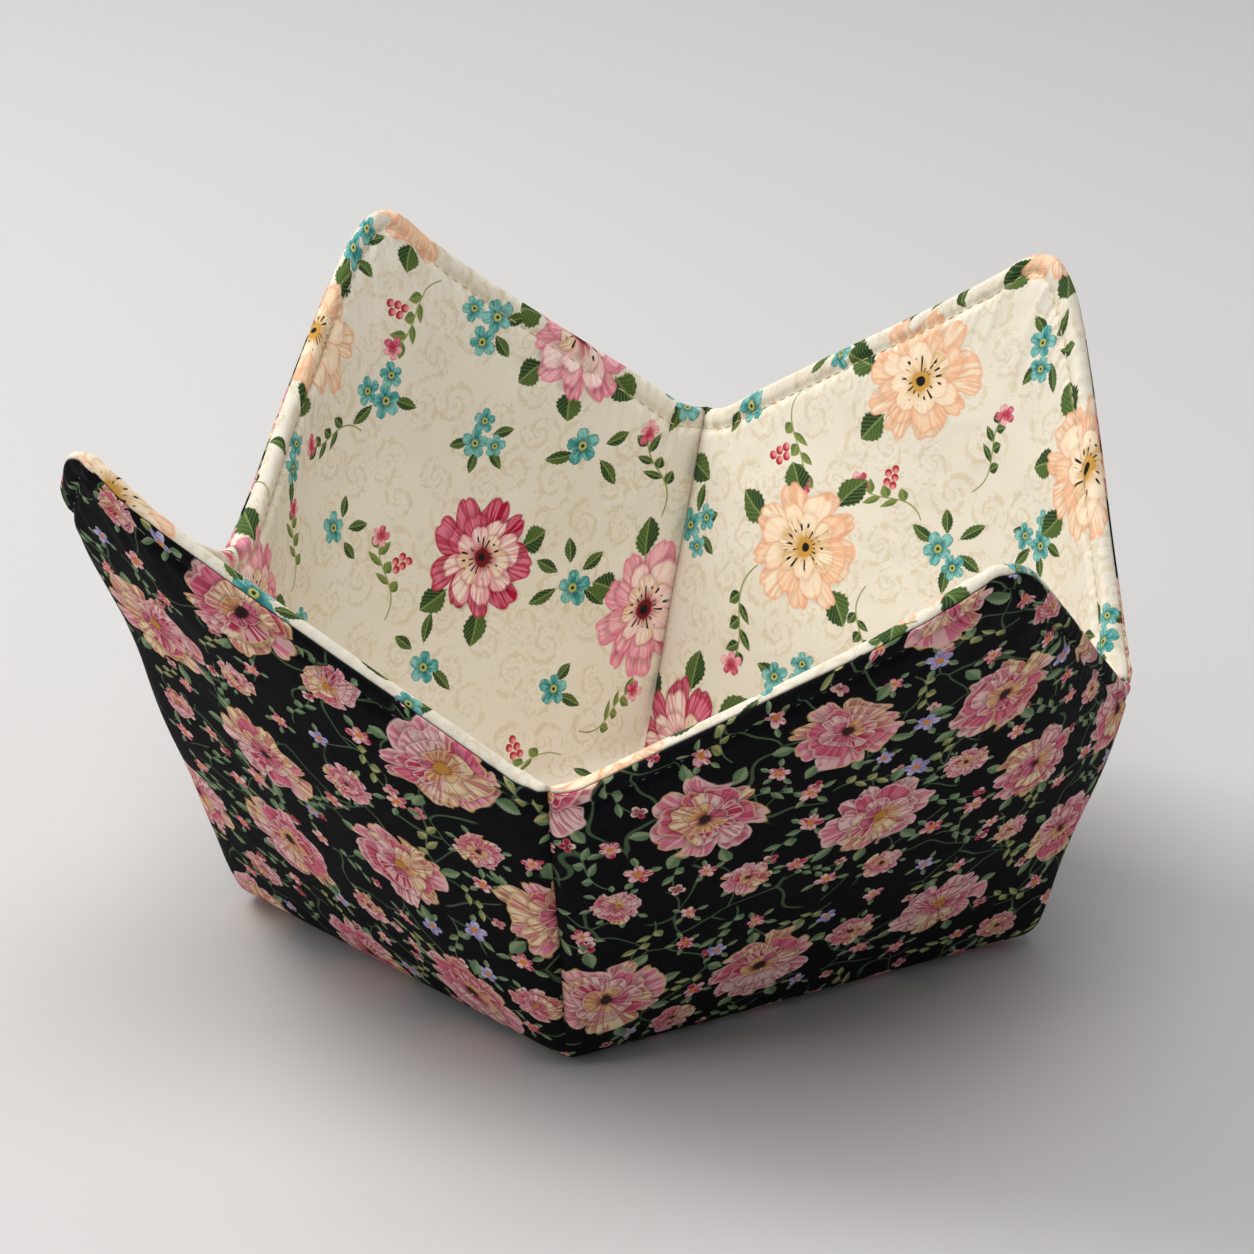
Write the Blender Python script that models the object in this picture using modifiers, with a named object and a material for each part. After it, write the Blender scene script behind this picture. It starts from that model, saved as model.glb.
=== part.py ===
"""Microwave bowl cozy: a square of quilted cotton, darted on its four sides so that it stands up as a bowl.

Four soft layers are nested: a printed cover outside, two sheets of batting, and a printed lining inside.
The cover and the lining turn over the rim and meet in the edge seam. Lengths are in metres, +Z is up,
and the origin is the middle of the underside.
"""
import bmesh
import bpy
from math import cos, pi, radians, sin, sqrt
from mathutils import Vector

# The flat pattern: a square with a dart at the middle of each side.
HALF_SIDE = 0.1206          # half the finished side of the square
DART_POINT = 0.0657         # from the middle of the square to the point of a dart
DART_HALF_WIDTH = 0.0348    # half the width of a dart at the edge of the square
CORNER_CURVE = 0.0075       # length of rim that bends on each side of a tip
VALLEY_CURVE = 0.0080       # length of rim that bends on each side of a dart seam

# How the sewn bowl stands. A turn is in degrees, anticlockwise from above.
BASE_REACH_FRONT = 0.0592   # middle to the front and back corners of the base
BASE_REACH_SIDE = 0.0712    # middle to the left and right corners of the base
BASE_FOLD = 0.0050          # cloth taken up on each side of the fold between base and wall
VALLEY_REACH = 0.0830       # middle to the low points of the rim, where the dart seams end
VALLEY_HEIGHT = 0.0590
TIP_REACH = 0.1000          # middle to the four tips
TIP_HEIGHT = 0.1070
BEND_START = 0.20           # where the soft bend beside a tip meets the rim, as a share from tip to seam
BEND_SPREAD = 0.90          # how far that bend spreads, as a share of its distance from the seam

# A soft bowl stands unevenly: what each seam and tip adds to the sizes above.
BASE_REACH_EXTRA = (0.0000, 0.0000, -0.0010, 0.0005)       # front, right, back, left
BASE_TURN = (0.0, 2.2, 9.0, 7.5)
VALLEY_REACH_EXTRA = (-0.0018, 0.0041, 0.0055, -0.0076)
VALLEY_HEIGHT_EXTRA = (-0.0010, -0.0060, 0.0037, 0.0032)
VALLEY_TURN = (0.9, -3.3, 2.2, 0.2)
TIP_REACH_EXTRA = (0.0050, -0.0088, -0.0034, 0.0073)       # front right, back right, back left, front left
TIP_HEIGHT_EXTRA = (-0.0051, 0.0033, 0.0013, 0.0012)
TIP_TURN = (-1.3, -0.7, -2.4, -1.2)

# The layers, from the outside in.
CLOTH = 0.0006              # the cover and the lining
BATTING = 0.00105           # each of the two sheets of batting
GAP = 0.0003                # between neighbouring layers
SEAM_GAP = 0.0006           # between the lips of the cover and the lining, along the roll of the rim
SEAM_ANGLE = 55.0           # where the edge seam lies on the rolled rim: 0 is outside, 180 inside

# The mesh.
COLUMN_SHARES = (0.20, 0.35, 0.46, 0.50, 0.54, 0.65, 0.80)    # across a wall and across the base
WALL_ROWS = 8
COVER_LIP_STEPS = 3
LINING_LIP_STEPS = 6
SOFTENING_PASSES = 2        # rounds of smoothing on the walls, between the seams, the rim and the base edge
SOFT_SEAM_ROWS = 3          # rows where the seams are smoothed too, because a dart fades out at its point
SHARP_ANGLE = 50.0

COVER_DEPTH = 0.0
OUTER_BATTING_DEPTH = CLOTH + GAP
LINING_BATTING_DEPTH = OUTER_BATTING_DEPTH + BATTING + GAP
LINING_DEPTH = LINING_BATTING_DEPTH + BATTING + GAP + CLOTH
ROLL_RADIUS = LINING_DEPTH / 2

# The flat wall between two darts, measured along the base edge from its middle, and up from it.
FLAT_BASE = Vector((DART_POINT, 0.0)) / sqrt(2)
FLAT_VALLEY = Vector((HALF_SIDE - DART_HALF_WIDTH, HALF_SIDE + DART_HALF_WIDTH - DART_POINT)) / sqrt(2)
FLAT_TIP = Vector((0.0, 2 * HALF_SIDE - DART_POINT)) / sqrt(2)

COVER_COLOUR = (0.012, 0.013, 0.016, 1.0)
LINING_COLOUR = (0.80, 0.73, 0.57, 1.0)
BATTING_COLOUR = (0.86, 0.84, 0.78, 1.0)
CLOTH_ROUGHNESS = 0.85
BATTING_ROUGHNESS = 0.95


def clear_scene():
    for item in list(bpy.data.objects):
        bpy.data.objects.remove(item, do_unlink=True)


def compass(reach, quarter, turn, height):
    """A point at a distance from the middle; quarter 0 faces -Y, 1 faces +X, 2 faces +Y and 3 faces -X."""
    angle = radians(90 * quarter + turn)
    return Vector((reach * sin(angle), -reach * cos(angle), height))


def base_corner(seam):
    reach = BASE_REACH_SIDE if seam % 2 else BASE_REACH_FRONT
    return compass(reach + BASE_REACH_EXTRA[seam], seam, BASE_TURN[seam], 0.0)


def valley(seam):
    reach = VALLEY_REACH + VALLEY_REACH_EXTRA[seam]
    return compass(reach, seam, VALLEY_TURN[seam], VALLEY_HEIGHT + VALLEY_HEIGHT_EXTRA[seam])


def tip(wall):
    reach = TIP_REACH + TIP_REACH_EXTRA[wall]
    return compass(reach, wall + 0.5, TIP_TURN[wall], TIP_HEIGHT + TIP_HEIGHT_EXTRA[wall])


def ramp(distance, spread):
    """Zero before the fold and the distance itself after it, softly bent over the spread on each side."""
    if distance <= -spread:
        return 0.0
    if distance >= spread:
        return distance
    return (distance + spread) ** 2 / (4 * spread)


def mirrored(flat):
    return Vector((-flat.x, flat.y))


def past_bend(flat, side):
    """Distance of a flat point past the soft bend that runs from a base corner to the rim beside the tip.

    The side is -1 for the bend left of the tip and 1 for the bend on its right.
    """
    corner = Vector((side * FLAT_BASE.x, 0.0))
    low = Vector((side * FLAT_VALLEY.x, FLAT_VALLEY.y))
    along = (FLAT_TIP.lerp(low, BEND_START) - corner).normalized()
    across = Vector((side * along.y, -side * along.x))
    return (flat - corner).dot(across)


def wall_point(wall, flat):
    """Where a point of the flat wall stands: a plane up to the tip, bent softly towards both dart seams."""
    left, right, top = base_corner(wall), base_corner((wall + 1) % 4), tip(wall)
    middle = (left + right) / 2
    width = (right - left) / (2 * FLAT_BASE.x)
    rise = (top - middle) / FLAT_TIP.y
    point = middle + width * flat.x + rise * flat.y
    reach = past_bend(FLAT_VALLEY, 1)
    steepest = BEND_SPREAD * FLAT_TIP.y / pi * reach / FLAT_VALLEY.y
    spread = max(steepest * sin(pi * flat.y / FLAT_TIP.y), 1e-9)
    for side, seam in ((-1, wall), (1, (wall + 1) % 4)):
        on_plane = middle + width * side * FLAT_VALLEY.x + rise * FLAT_VALLEY.y
        pull = (valley(seam) - on_plane) / reach
        point = point + pull * ramp(past_bend(flat, side), spread)
    return point


def rim_flat(share, inset):
    """The finished edge of the flat wall, from its left dart (share 0) over the tip to the right one (1)."""
    half = HALF_SIDE - inset
    low = FLAT_BASE + (FLAT_VALLEY - FLAT_BASE) * (half - DART_POINT) / (HALF_SIDE - DART_POINT)
    top = Vector((0.0, 2 * half - DART_POINT)) / sqrt(2)
    down = (low - top).normalized()
    length = (low - top).length
    past_tip = (2 * share - 1) * length
    from_valley = length - abs(past_tip)
    if from_valley < VALLEY_CURVE:
        seam_line = (FLAT_VALLEY - FLAT_BASE).normalized()
        beyond = 2 * seam_line.dot(-down) * seam_line + down
        flat = low - down * ramp(from_valley, VALLEY_CURVE) + beyond * ramp(-from_valley, VALLEY_CURVE)
        return flat if past_tip > 0 else mirrored(flat)
    return top + mirrored(down) * ramp(-past_tip, CORNER_CURVE) + down * ramp(past_tip, CORNER_CURVE)


def column_point(wall, share, distance):
    """A point on the line that runs from the base edge up to the rim, at a distance from the base edge."""
    foot = Vector(((2 * share - 1) * FLAT_BASE.x, 0.0))
    top = rim_flat(share, ROLL_RADIUS)
    return wall_point(wall, foot + (top - foot).normalized() * distance)


def column_length(share):
    foot = Vector(((2 * share - 1) * FLAT_BASE.x, 0.0))
    return (rim_flat(share, ROLL_RADIUS) - foot).length


def column_shares():
    edge = BASE_FOLD / (2 * FLAT_BASE.x)
    return (0.0, edge) + COLUMN_SHARES + (1.0 - edge, 1.0)


def base_share(share):
    """The share of the base's width where a grid line lies, once the fold has drawn its edge inwards."""
    width = 2 * FLAT_BASE.x
    if share <= 0.5:
        return ramp(share * width, BASE_FOLD) / width
    return 1.0 - ramp((1.0 - share) * width, BASE_FOLD) / width


def base_point(share_x, share_y):
    x, y = base_share(share_x), base_share(share_y)
    front = base_corner(0).lerp(base_corner(1), x)
    back = base_corner(3).lerp(base_corner(2), x)
    return front.lerp(back, y)


def wall_and_share(share_x, share_y):
    """The wall that a point on the edge of the base belongs to, and how far along that wall it lies."""
    if share_y == 0.0:
        return 0, share_x
    if share_x == 1.0:
        return 1, share_y
    if share_y == 1.0:
        return 2, 1.0 - share_x
    return 3, 1.0 - share_y


def skin_point(share_x, share_y, row):
    """A point of the outer face of the cover: row 0 is the base and its edge, WALL_ROWS is the rim."""
    on_edge = share_x in (0.0, 1.0) or share_y in (0.0, 1.0)
    if not on_edge:
        return base_point(share_x, share_y)
    wall, share = wall_and_share(share_x, share_y)
    if row == 0:
        lift = column_point(wall, share, ramp(0.0, BASE_FOLD)) - column_point(wall, share, 0.0)
        return base_point(share_x, share_y) + lift
    upper = (column_length(share) - BASE_FOLD) * (row - 1) / (WALL_ROWS - 1)
    return column_point(wall, share, BASE_FOLD + upper)


def rim_rise(share_x, share_y):
    """From the last wall row up to the finished edge, along the wall."""
    wall, share = wall_and_share(share_x, share_y)
    return wall_point(wall, rim_flat(share, 0.0)) - wall_point(wall, rim_flat(share, ROLL_RADIUS))


def open_box(rows):
    """A square grid whose edge is drawn up row by row; x and y hold the grid's indices and z the row."""
    cells = len(column_shares()) - 1
    mesh = bmesh.new()
    bmesh.ops.create_grid(mesh, x_segments=cells, y_segments=cells, size=cells / 2)
    bmesh.ops.translate(mesh, verts=mesh.verts, vec=Vector((cells / 2, cells / 2, 0.0)))
    edge = [line for line in mesh.edges if line.is_boundary]
    for _ in range(rows):
        drawn = bmesh.ops.extrude_edge_only(mesh, edges=edge)["geom"]
        corners = [item for item in drawn if isinstance(item, bmesh.types.BMVert)]
        bmesh.ops.translate(mesh, verts=corners, vec=Vector((0.0, 0.0, 1.0)))
        edge = [item for item in drawn if isinstance(item, bmesh.types.BMEdge) and item.is_boundary]
    bmesh.ops.reverse_faces(mesh, faces=mesh.faces)
    return mesh


def grid_key(corner):
    return round(corner.co.x), round(corner.co.y), round(corner.co.z)


def cover_skin():
    """Each grid point on the outer face of the cover, and the step that takes it one metre inwards."""
    shares = column_shares()
    mesh = open_box(WALL_ROWS)
    keys = [grid_key(corner) for corner in mesh.verts]
    for key, corner in zip(keys, mesh.verts):
        corner.co = skin_point(shares[key[0]], shares[key[1]], key[2])
    last = len(shares) - 1
    soft = [corner for key, corner in zip(keys, mesh.verts)
            if 0 < key[2] < WALL_ROWS
            and (key[2] <= SOFT_SEAM_ROWS or 0 < key[0] < last or 0 < key[1] < last)]
    for _ in range(SOFTENING_PASSES):
        bmesh.ops.smooth_vert(mesh, verts=soft, factor=0.5,
                              use_axis_x=True, use_axis_y=True, use_axis_z=True)
    mesh.normal_update()
    places = {}
    for key, corner in zip(keys, mesh.verts):
        places[key] = (corner.co.copy(), -corner.normal * corner.calc_shell_factor())
    mesh.free()
    return places


def rolled(places, shares, key, angle):
    """A point on the roll of the rim above a grid point; the angle is 0 outside and 180 inside."""
    spot, inwards = places[(key[0], key[1], WALL_ROWS)]
    depth = ROLL_RADIUS * (1 - cos(radians(angle)))
    return spot + inwards * depth + rim_rise(shares[key[0]], shares[key[1]]) * sin(radians(angle))


def layer(name, places, depth, thickness, side, lip_angles, material, collection):
    """One sheet of the bowl: its face at a depth, its lip over the rim, and its thickness by Solidify."""
    shares = column_shares()
    mesh = open_box(WALL_ROWS + len(lip_angles))
    for corner in mesh.verts:
        key = grid_key(corner)
        if key[2] > WALL_ROWS:
            corner.co = rolled(places, shares, key, lip_angles[key[2] - WALL_ROWS - 1])
        else:
            spot, inwards = places[key]
            corner.co = spot + inwards * depth
    data = bpy.data.meshes.new(name)
    mesh.to_mesh(data)
    mesh.free()
    data.shade_smooth()
    data.set_sharp_from_angle(angle=radians(SHARP_ANGLE))
    data.materials.append(material)
    sheet = bpy.data.objects.new(name, data)
    collection.objects.link(sheet)
    shell = sheet.modifiers.new("thickness", "SOLIDIFY")
    shell.thickness = thickness
    shell.offset = side
    shell.use_even_offset = True
    return sheet


def lip(first, last, steps):
    """Angles of the rows of a lip, each step the same, ending at the last angle."""
    return [first + (last - first) * (step + 1) / steps for step in range(steps)]


def cloth_material(name, colour, roughness):
    material = bpy.data.materials.new(name)
    material.use_nodes = True
    shader = material.node_tree.nodes["Principled BSDF"]
    shader.inputs["Base Color"].default_value = colour
    shader.inputs["Roughness"].default_value = roughness
    shader.inputs["Metallic"].default_value = 0.0
    material.diffuse_color = colour
    return material


def build():
    clear_scene()
    bowl = bpy.data.collections.new("microwave_bowl_cozy")
    bpy.context.scene.collection.children.link(bowl)
    places = cover_skin()
    half_gap = SEAM_GAP / ROLL_RADIUS / 2 * 180 / pi
    cover_lip = lip(0.0, SEAM_ANGLE - half_gap, COVER_LIP_STEPS)
    lining_lip = lip(180.0, SEAM_ANGLE + half_gap, LINING_LIP_STEPS)
    cover_cotton = cloth_material("cover_cotton", COVER_COLOUR, CLOTH_ROUGHNESS)
    lining_cotton = cloth_material("lining_cotton", LINING_COLOUR, CLOTH_ROUGHNESS)
    outer_wool = cloth_material("outer_batting_cotton", BATTING_COLOUR, BATTING_ROUGHNESS)
    lining_wool = cloth_material("lining_batting_cotton", BATTING_COLOUR, BATTING_ROUGHNESS)
    inwards, outwards = -1.0, 1.0
    layer("outer_cover", places, COVER_DEPTH, CLOTH, inwards, cover_lip, cover_cotton, bowl)
    layer("outer_batting", places, OUTER_BATTING_DEPTH, BATTING, inwards, [], outer_wool, bowl)
    layer("lining_batting", places, LINING_BATTING_DEPTH, BATTING, inwards, [], lining_wool, bowl)
    layer("lining", places, LINING_DEPTH, CLOTH, outwards, lining_lip, lining_cotton, bowl)


build()
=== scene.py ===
"""Looks of the microwave bowl cozy: quilted cottons, seams, stitches and prints, with camera and light.

Lengths are in metres. The cloth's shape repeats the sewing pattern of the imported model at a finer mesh.
"""
from collections import namedtuple
from math import cos, pi, radians, sin, sqrt

import bpy
import numpy as np
from mathutils import Matrix, Vector


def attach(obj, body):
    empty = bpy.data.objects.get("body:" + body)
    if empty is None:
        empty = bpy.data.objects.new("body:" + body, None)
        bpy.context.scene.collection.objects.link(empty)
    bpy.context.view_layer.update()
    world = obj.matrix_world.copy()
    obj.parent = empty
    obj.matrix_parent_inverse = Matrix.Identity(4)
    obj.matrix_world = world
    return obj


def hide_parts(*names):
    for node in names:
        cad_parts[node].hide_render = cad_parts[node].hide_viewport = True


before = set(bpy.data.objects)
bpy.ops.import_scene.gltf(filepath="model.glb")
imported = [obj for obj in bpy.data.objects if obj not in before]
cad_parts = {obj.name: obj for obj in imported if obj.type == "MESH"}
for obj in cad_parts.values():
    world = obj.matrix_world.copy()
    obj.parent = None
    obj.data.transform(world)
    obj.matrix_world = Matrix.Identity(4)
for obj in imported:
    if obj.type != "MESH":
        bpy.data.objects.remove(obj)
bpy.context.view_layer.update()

# The flat pattern and the standing bowl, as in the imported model.
HALF_SIDE = 0.1206
DART_POINT = 0.0657
DART_HALF_WIDTH = 0.0348
CORNER_CURVE = 0.0075
VALLEY_CURVE = 0.0080
BASE_REACH_FRONT = 0.0592
BASE_REACH_SIDE = 0.0712
BASE_FOLD = 0.0050
VALLEY_REACH = 0.0830
VALLEY_HEIGHT = 0.0590
TIP_REACH = 0.1000
TIP_HEIGHT = 0.1070
BEND_START = 0.20
BEND_SPREAD = 0.90
BASE_REACH_EXTRA = (0.0000, 0.0000, -0.0010, 0.0005)
BASE_TURN = (0.0, 2.2, 9.0, 7.5)
VALLEY_REACH_EXTRA = (-0.0018, 0.0041, 0.0055, -0.0076)
VALLEY_HEIGHT_EXTRA = (-0.0010, -0.0060, 0.0037, 0.0032)
VALLEY_TURN = (0.9, -3.3, 2.2, 0.2)
TIP_REACH_EXTRA = (0.0050, -0.0088, -0.0034, 0.0073)
TIP_HEIGHT_EXTRA = (-0.0051, 0.0033, 0.0013, 0.0012)
TIP_TURN = (-1.3, -0.7, -2.4, -1.2)
TIGHT_BEND = (3, -1)        # the wall and side whose bend is tighter than the others
TIGHT_BEND_SHARE = 0.30     # its share of their width
WALL_DEPTH = 0.0042         # cover, two battings and lining together
ROLL_RADIUS = WALL_DEPTH / 2
SEAM_ANGLE = 55.0           # where the edge seam lies on the rolled rim: 0 is outside, 180 inside

FLAT_BASE = np.array((DART_POINT, 0.0)) / sqrt(2)
FLAT_VALLEY = np.array((HALF_SIDE - DART_HALF_WIDTH, HALF_SIDE + DART_HALF_WIDTH - DART_POINT)) / sqrt(2)
FLAT_TIP = np.array((0.0, 2 * HALF_SIDE - DART_POINT)) / sqrt(2)

# The fine mesh.
COLUMNS = 100               # across each wall
COLUMN_CROWDING = 0.52      # how much closer columns lie at the seams and the tip than between them
BASE_ROWS = 7               # rows in the fold at the base
MIDDLE_ROWS = 42
RIM_ROWS = 18
RIM_BAND = 0.0085           # the strip below the roll of the rim with close rows
ROWS = BASE_ROWS + MIDDLE_ROWS + RIM_ROWS
COVER_LIP_STEPS = 6
LINING_LIP_STEPS = 11

# How the sewing shapes the cloth.
CLOTH = 0.0004
STITCH_INSET = 0.0038       # from the finished edge to the topstitching
SEAM_SPREAD = 0.020         # width over which the lining makes up for the thickness at a seam
FOLD_SPREAD = 0.012
SOFT_SEAM_WIDTH = 0.006     # beside a seam, where its upper part keeps its corner
SOFT_SEAM_HEIGHT = 0.010    # below this the seam is rounded, because a dart fades out at its point
SMOOTHING = 0.5
SMOOTHING_PASSES = 8
FOOT_RISE = 0.009           # from the base edge up, over which the wall's padding starts
DART_FADE = 0.016
CREASE_WIDTH = 0.0009
INNER_CREASE_WIDTH = 0.0007
OUTER_CREASE = 0.0012
INNER_CREASE = 0.0009
PUFF_PLACE = 0.0045
OUTER_PUFF = 0.0005
INNER_PUFF = 0.0004
GROOVE_WIDTH = 0.0009
OUTER_GROOVE = 0.0009
INNER_GROOVE = 0.0008
OUTER_ROLL = -0.0006        # the rim's roll is slimmer than the padded wall
INNER_ROLL = -0.0005
ROLL_STRAIGHT = 0.24
CROWN = 0.0004
INNER_CROWN = 0.0004
CROWN_REACH = 0.006
WAVES = ((0.075, 0.00022), (0.040, 0.00013), (0.022, 0.00006))   # length and height of each kind of wave
WAVE_COUNT = 4
WAVE_SEED = 5
WAVE_FADE = 0.012
BASE_WAVE_SHARE = 0.6
PLEAT = 0.00035
PLEAT_PITCH = 0.0046
PLEAT_SPREAD = 0.009
PLEAT_REACH = 0.005
TIP_PLEAT = 0.00030
TIP_PLEAT_PITCH = 0.0085
TIP_PLEAT_SPREAD = 0.022
TIP_PLEAT_REACH = 0.010
SEAM_LIP_GAP = 0.0002
SEAM_DIP = 0.0006
LAYER_GAP = 0.00012

# Topstitching.
Stitch = namedtuple("Stitch", "share radius proud start")
STITCH_PITCH = 0.0023
OUTSIDE_STITCH = Stitch(share=0.62, radius=0.00011, proud=-0.00004, start=0.0)
INSIDE_STITCH = Stitch(share=0.86, radius=0.00013, proud=0.00003, start=0.1)
STITCH_POINTS = 7
STITCH_SINK = 0.00030
STITCH_SEED = 11
THREAD_SIDES = 6

# The camera, fitted to the photograph.
AZIMUTH = 10.99
ELEVATION = 22.51
CAMERA_DISTANCE = 0.678
LOOK_AT = (-0.002, 0.0005, 0.0548)
ROLL = 0.43
LENS_SHARE = 3.0893         # focal length as a share of the picture's width
SENSOR = 36.0

# Studio. Each lamp has its place, size, power in watts and colour.
BOWL_MIDDLE = (0.0, 0.0, 0.05)
LAMPS = (
    ("key", (-0.9, 0.35, 1.1), 0.7, 14.0, (1.0, 0.985, 0.96)),
    ("top", (0.10, -0.20, 1.4), 1.0, 11.0, (1.0, 0.99, 0.98)),
    ("fill", (-1.2, -0.7, 0.6), 0.6, 2.4, (0.98, 0.99, 1.0)),
)
SURROUND_COLOUR = (0.93, 0.96, 1.0)
SURROUND_STRENGTH = 0.30
BACKDROP_COLOUR = (0.68, 0.675, 0.67)
FLOOR_COLOUR = (0.60, 0.59, 0.58)
FLOOR_SIZE = 6.0
FLOOR_GAP = 0.0001

# Relief of the cotton.
THREAD_PITCH = 0.00046
CRINKLE_SIZE = 0.0075
CRINKLE_RELIEF = 0.00045
PUCKER_PITCH = 0.0021
PUCKER_LENGTH = 0.0065
PUCKER_REACH = 0.0040
PUCKER_RELIEF = 0.0009
SCATTER_TRIES = 12000
SEED_STEP = 1 / 256
SEAM_LINE_WIDTH = 0.00030    # the sewn line of a dart
SEAM_LINE_RELIEF = 0.00035
# Painted shade: the tint and share that darken the colour in the crease along each dart seam.
SEAM_CREASE_PAINTED_SHADE = (0.42, 0.33, 0.26)
SEAM_CREASE_PAINTED_SHADE_SHARE = 0.75
WEAVE_SHADES = (0.88, 1.06)  # what the darkest and the lightest thread of the weave make of a colour
COTTON_SPECULAR = 0.12

# The shapes of the prints. Lengths are shares of a motif's size, and turns are counted in petals or leaves.
Petals = namedtuple("Petals", "count turn reach dip vary power soft", defaults=(0.12, 2.6, 0.05))
Leaves = namedtuple("Leaves", "count turn start end width share veins")
Spray = namedtuple("Spray", "bow start end pitch lean length width veins")
Stem = namedtuple("Stem", "bow start end width")
Part = namedtuple("Part", "x y size share")
LEAF_SOFTNESS = 0.03
VINE_SIZE = 0.0105          # of their loops, in metres
VINE_WIDTH = 0.028
COVER_STEM = Stem(0.26, -1.0, 0.95, 0.035)
COVER_SPRAY = Spray(0.26, -0.80, 0.50, 0.56, 0.85, 0.48, 0.14, 3.0)
COVER_BUD = Petals(4, 0.1, 1.0, 0.5, 0.2, 2.0, 0.1)
SPRIG_LEAVES = Leaves(5, 0.3, 0.55, 1.65, 0.22, 0.65, 3.0)
SPRIG_PETALS = Petals(5, 0.15, 0.90, 0.46, 0.35, 2.0, 0.10)
COVER_BLOOM_LEAVES = Leaves(8, 0.4, 0.78, 1.30, 0.12, 0.55, 6.0)
COVER_BLOOM_RINGS = (Petals(7, 0.1, 1.0, 0.28, 0.16, 3.0), Petals(6, 0.55, 0.82, 0.28, 0.22, 3.0),
                     Petals(5, 0.3, 0.60, 0.28, 0.24, 3.0), Petals(4, 0.8, 0.36, 0.25, 0.2))
LINING_STEM = Stem(0.26, -1.1, 1.05, 0.028)
LINING_SPRAY = Spray(0.26, -0.80, 0.45, 0.42, 0.80, 0.52, 0.12, 4.0)
LINING_BUD = Petals(5, 0.2, 1.0, 0.45, 0.2, 2.2, 0.08)
BERRIES = (Part(0.10, -0.30, 0.105, 1.0), Part(0.29, -0.26, 0.105, 1.0), Part(0.19, -0.47, 0.105, 1.0),
           Part(0.40, -0.44, 0.105, 1.0), Part(0.31, -0.63, 0.105, 1.0))
TEAL_LEAVES = Leaves(6, 0.45, 0.30, 1.15, 0.16, 0.55, 6.0)
TEAL_HEADS = (Part(0.0, -0.22, 0.46, 1.0), Part(0.46, 0.20, 0.36, 0.65), Part(-0.30, 0.34, 0.40, 0.40))
TEAL_PETALS = Petals(5, 0.15, 1.0, 0.42, 0.2, 2.2, 0.06)
LINING_BLOOM_LEAVES = Leaves(7, 0.35, 0.72, 1.37, 0.22, 0.50, 7.0)
LINING_BLOOM_RINGS = (Petals(9, 0.1, 1.0, 0.30, 0.14), Petals(8, 0.5, 0.82, 0.30, 0.18),
                      Petals(7, 0.9, 0.54, 0.28, 0.2))

# Where the motifs lie: a layer keeps its motifs apart from each other and from those of the layers it names.
Layer = namedtuple("Layer", "name seed size spread spacing clear_of")
COVER_LAYERS = (
    Layer("cover_blooms", 21, 0.0106, 0.08, 0.0272, {}),
    Layer("cover_blossoms", 22, 0.0046, 0.12, 0.0210, {"cover_blooms": 0.0165}),
    Layer("cover_sprays", 24, 0.0062, 0.12, 0.0126, {"cover_blooms": 0.0120, "cover_blossoms": 0.0085}),
    Layer("cover_sprigs", 23, 0.0027, 0.18, 0.0078,
          {"cover_blooms": 0.0122, "cover_blossoms": 0.0075, "cover_sprays": 0.0045}),
)
LINING_LAYERS = (
    Layer("lining_blooms", 31, 0.0132, 0.06, 0.0395, {}),
    Layer("lining_blossoms", 32, 0.0080, 0.12, 0.0215, {"lining_blooms": 0.0200}),
    Layer("lining_sprays", 33, 0.0088, 0.12, 0.0200, {"lining_blooms": 0.0185, "lining_blossoms": 0.0150}),
    Layer("lining_scrolls", 34, 0.0041, 0.10, 0.0074, {}),
)

# Print colours of the cover.
GROUND_BLACK = (0.0018, 0.0018, 0.0026)
GROUND_SOFT_BLACK = (0.0064, 0.0066, 0.0086)
ROSE = (0.52, 0.036, 0.095)
DEEP_ROSE = (0.23, 0.008, 0.030)
PINK = (0.74, 0.20, 0.29)
PALE_PINK = (0.93, 0.64, 0.60)
CREAM_YELLOW = (0.93, 0.75, 0.47)
BUTTER = (0.84, 0.56, 0.23)
OCHRE = (0.58, 0.27, 0.05)
ORANGE = (0.75, 0.27, 0.05)
LILAC = (0.30, 0.24, 0.50)
LILAC_PALE = (0.62, 0.56, 0.74)
SAGE_DEEP = (0.085, 0.140, 0.070)
SAGE_DARK = (0.095, 0.175, 0.080)
SAGE = (0.17, 0.27, 0.14)
SAGE_PALE = (0.34, 0.42, 0.24)
BLOOM_HEART = (0.045, 0.022, 0.020)

# Print colours of the lining.
CREAM = (0.83, 0.785, 0.675)
CREAM_SHADE = (0.79, 0.725, 0.590)
SCROLL_TAN = (0.66, 0.545, 0.35)
PETAL_WHITE = (0.93, 0.78, 0.68)
PALE_BLUSH = (0.90, 0.50, 0.52)
CRIMSON = (0.40, 0.010, 0.040)
GOLD = (0.67, 0.36, 0.09)
PEACH_WHITE = (0.93, 0.78, 0.58)
PEACH_PALE = (0.92, 0.66, 0.45)
PEACH = (0.82, 0.41, 0.23)
HONEY = (0.60, 0.32, 0.06)
MAROON = (0.16, 0.012, 0.016)
STAMEN = (0.010, 0.012, 0.010)
TEAL_PALE = (0.26, 0.57, 0.51)
TEAL = (0.065, 0.31, 0.30)
TEAL_DARK = (0.018, 0.135, 0.145)
LIME = (0.52, 0.50, 0.12)
LEAF_DARK = (0.012, 0.042, 0.016)
LEAF = (0.095, 0.16, 0.035)
LEAF_VEIN = (0.26, 0.32, 0.11)
OLIVE = (0.25, 0.29, 0.065)
BERRY = (0.42, 0.018, 0.035)
BERRY_LIGHT = (0.85, 0.30, 0.30)


def fold(distance, spread):
    """Zero before the fold and the distance after it, with a soft bend over the spread on each side."""
    soft = (distance + spread) ** 2 / (4 * spread)
    return np.where(distance <= -spread, 0.0, np.where(distance >= spread, distance, soft))


def compass(reach, quarter, turn, height):
    angle = radians(90 * quarter + turn)
    return np.array((reach * sin(angle), -reach * cos(angle), height))


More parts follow.
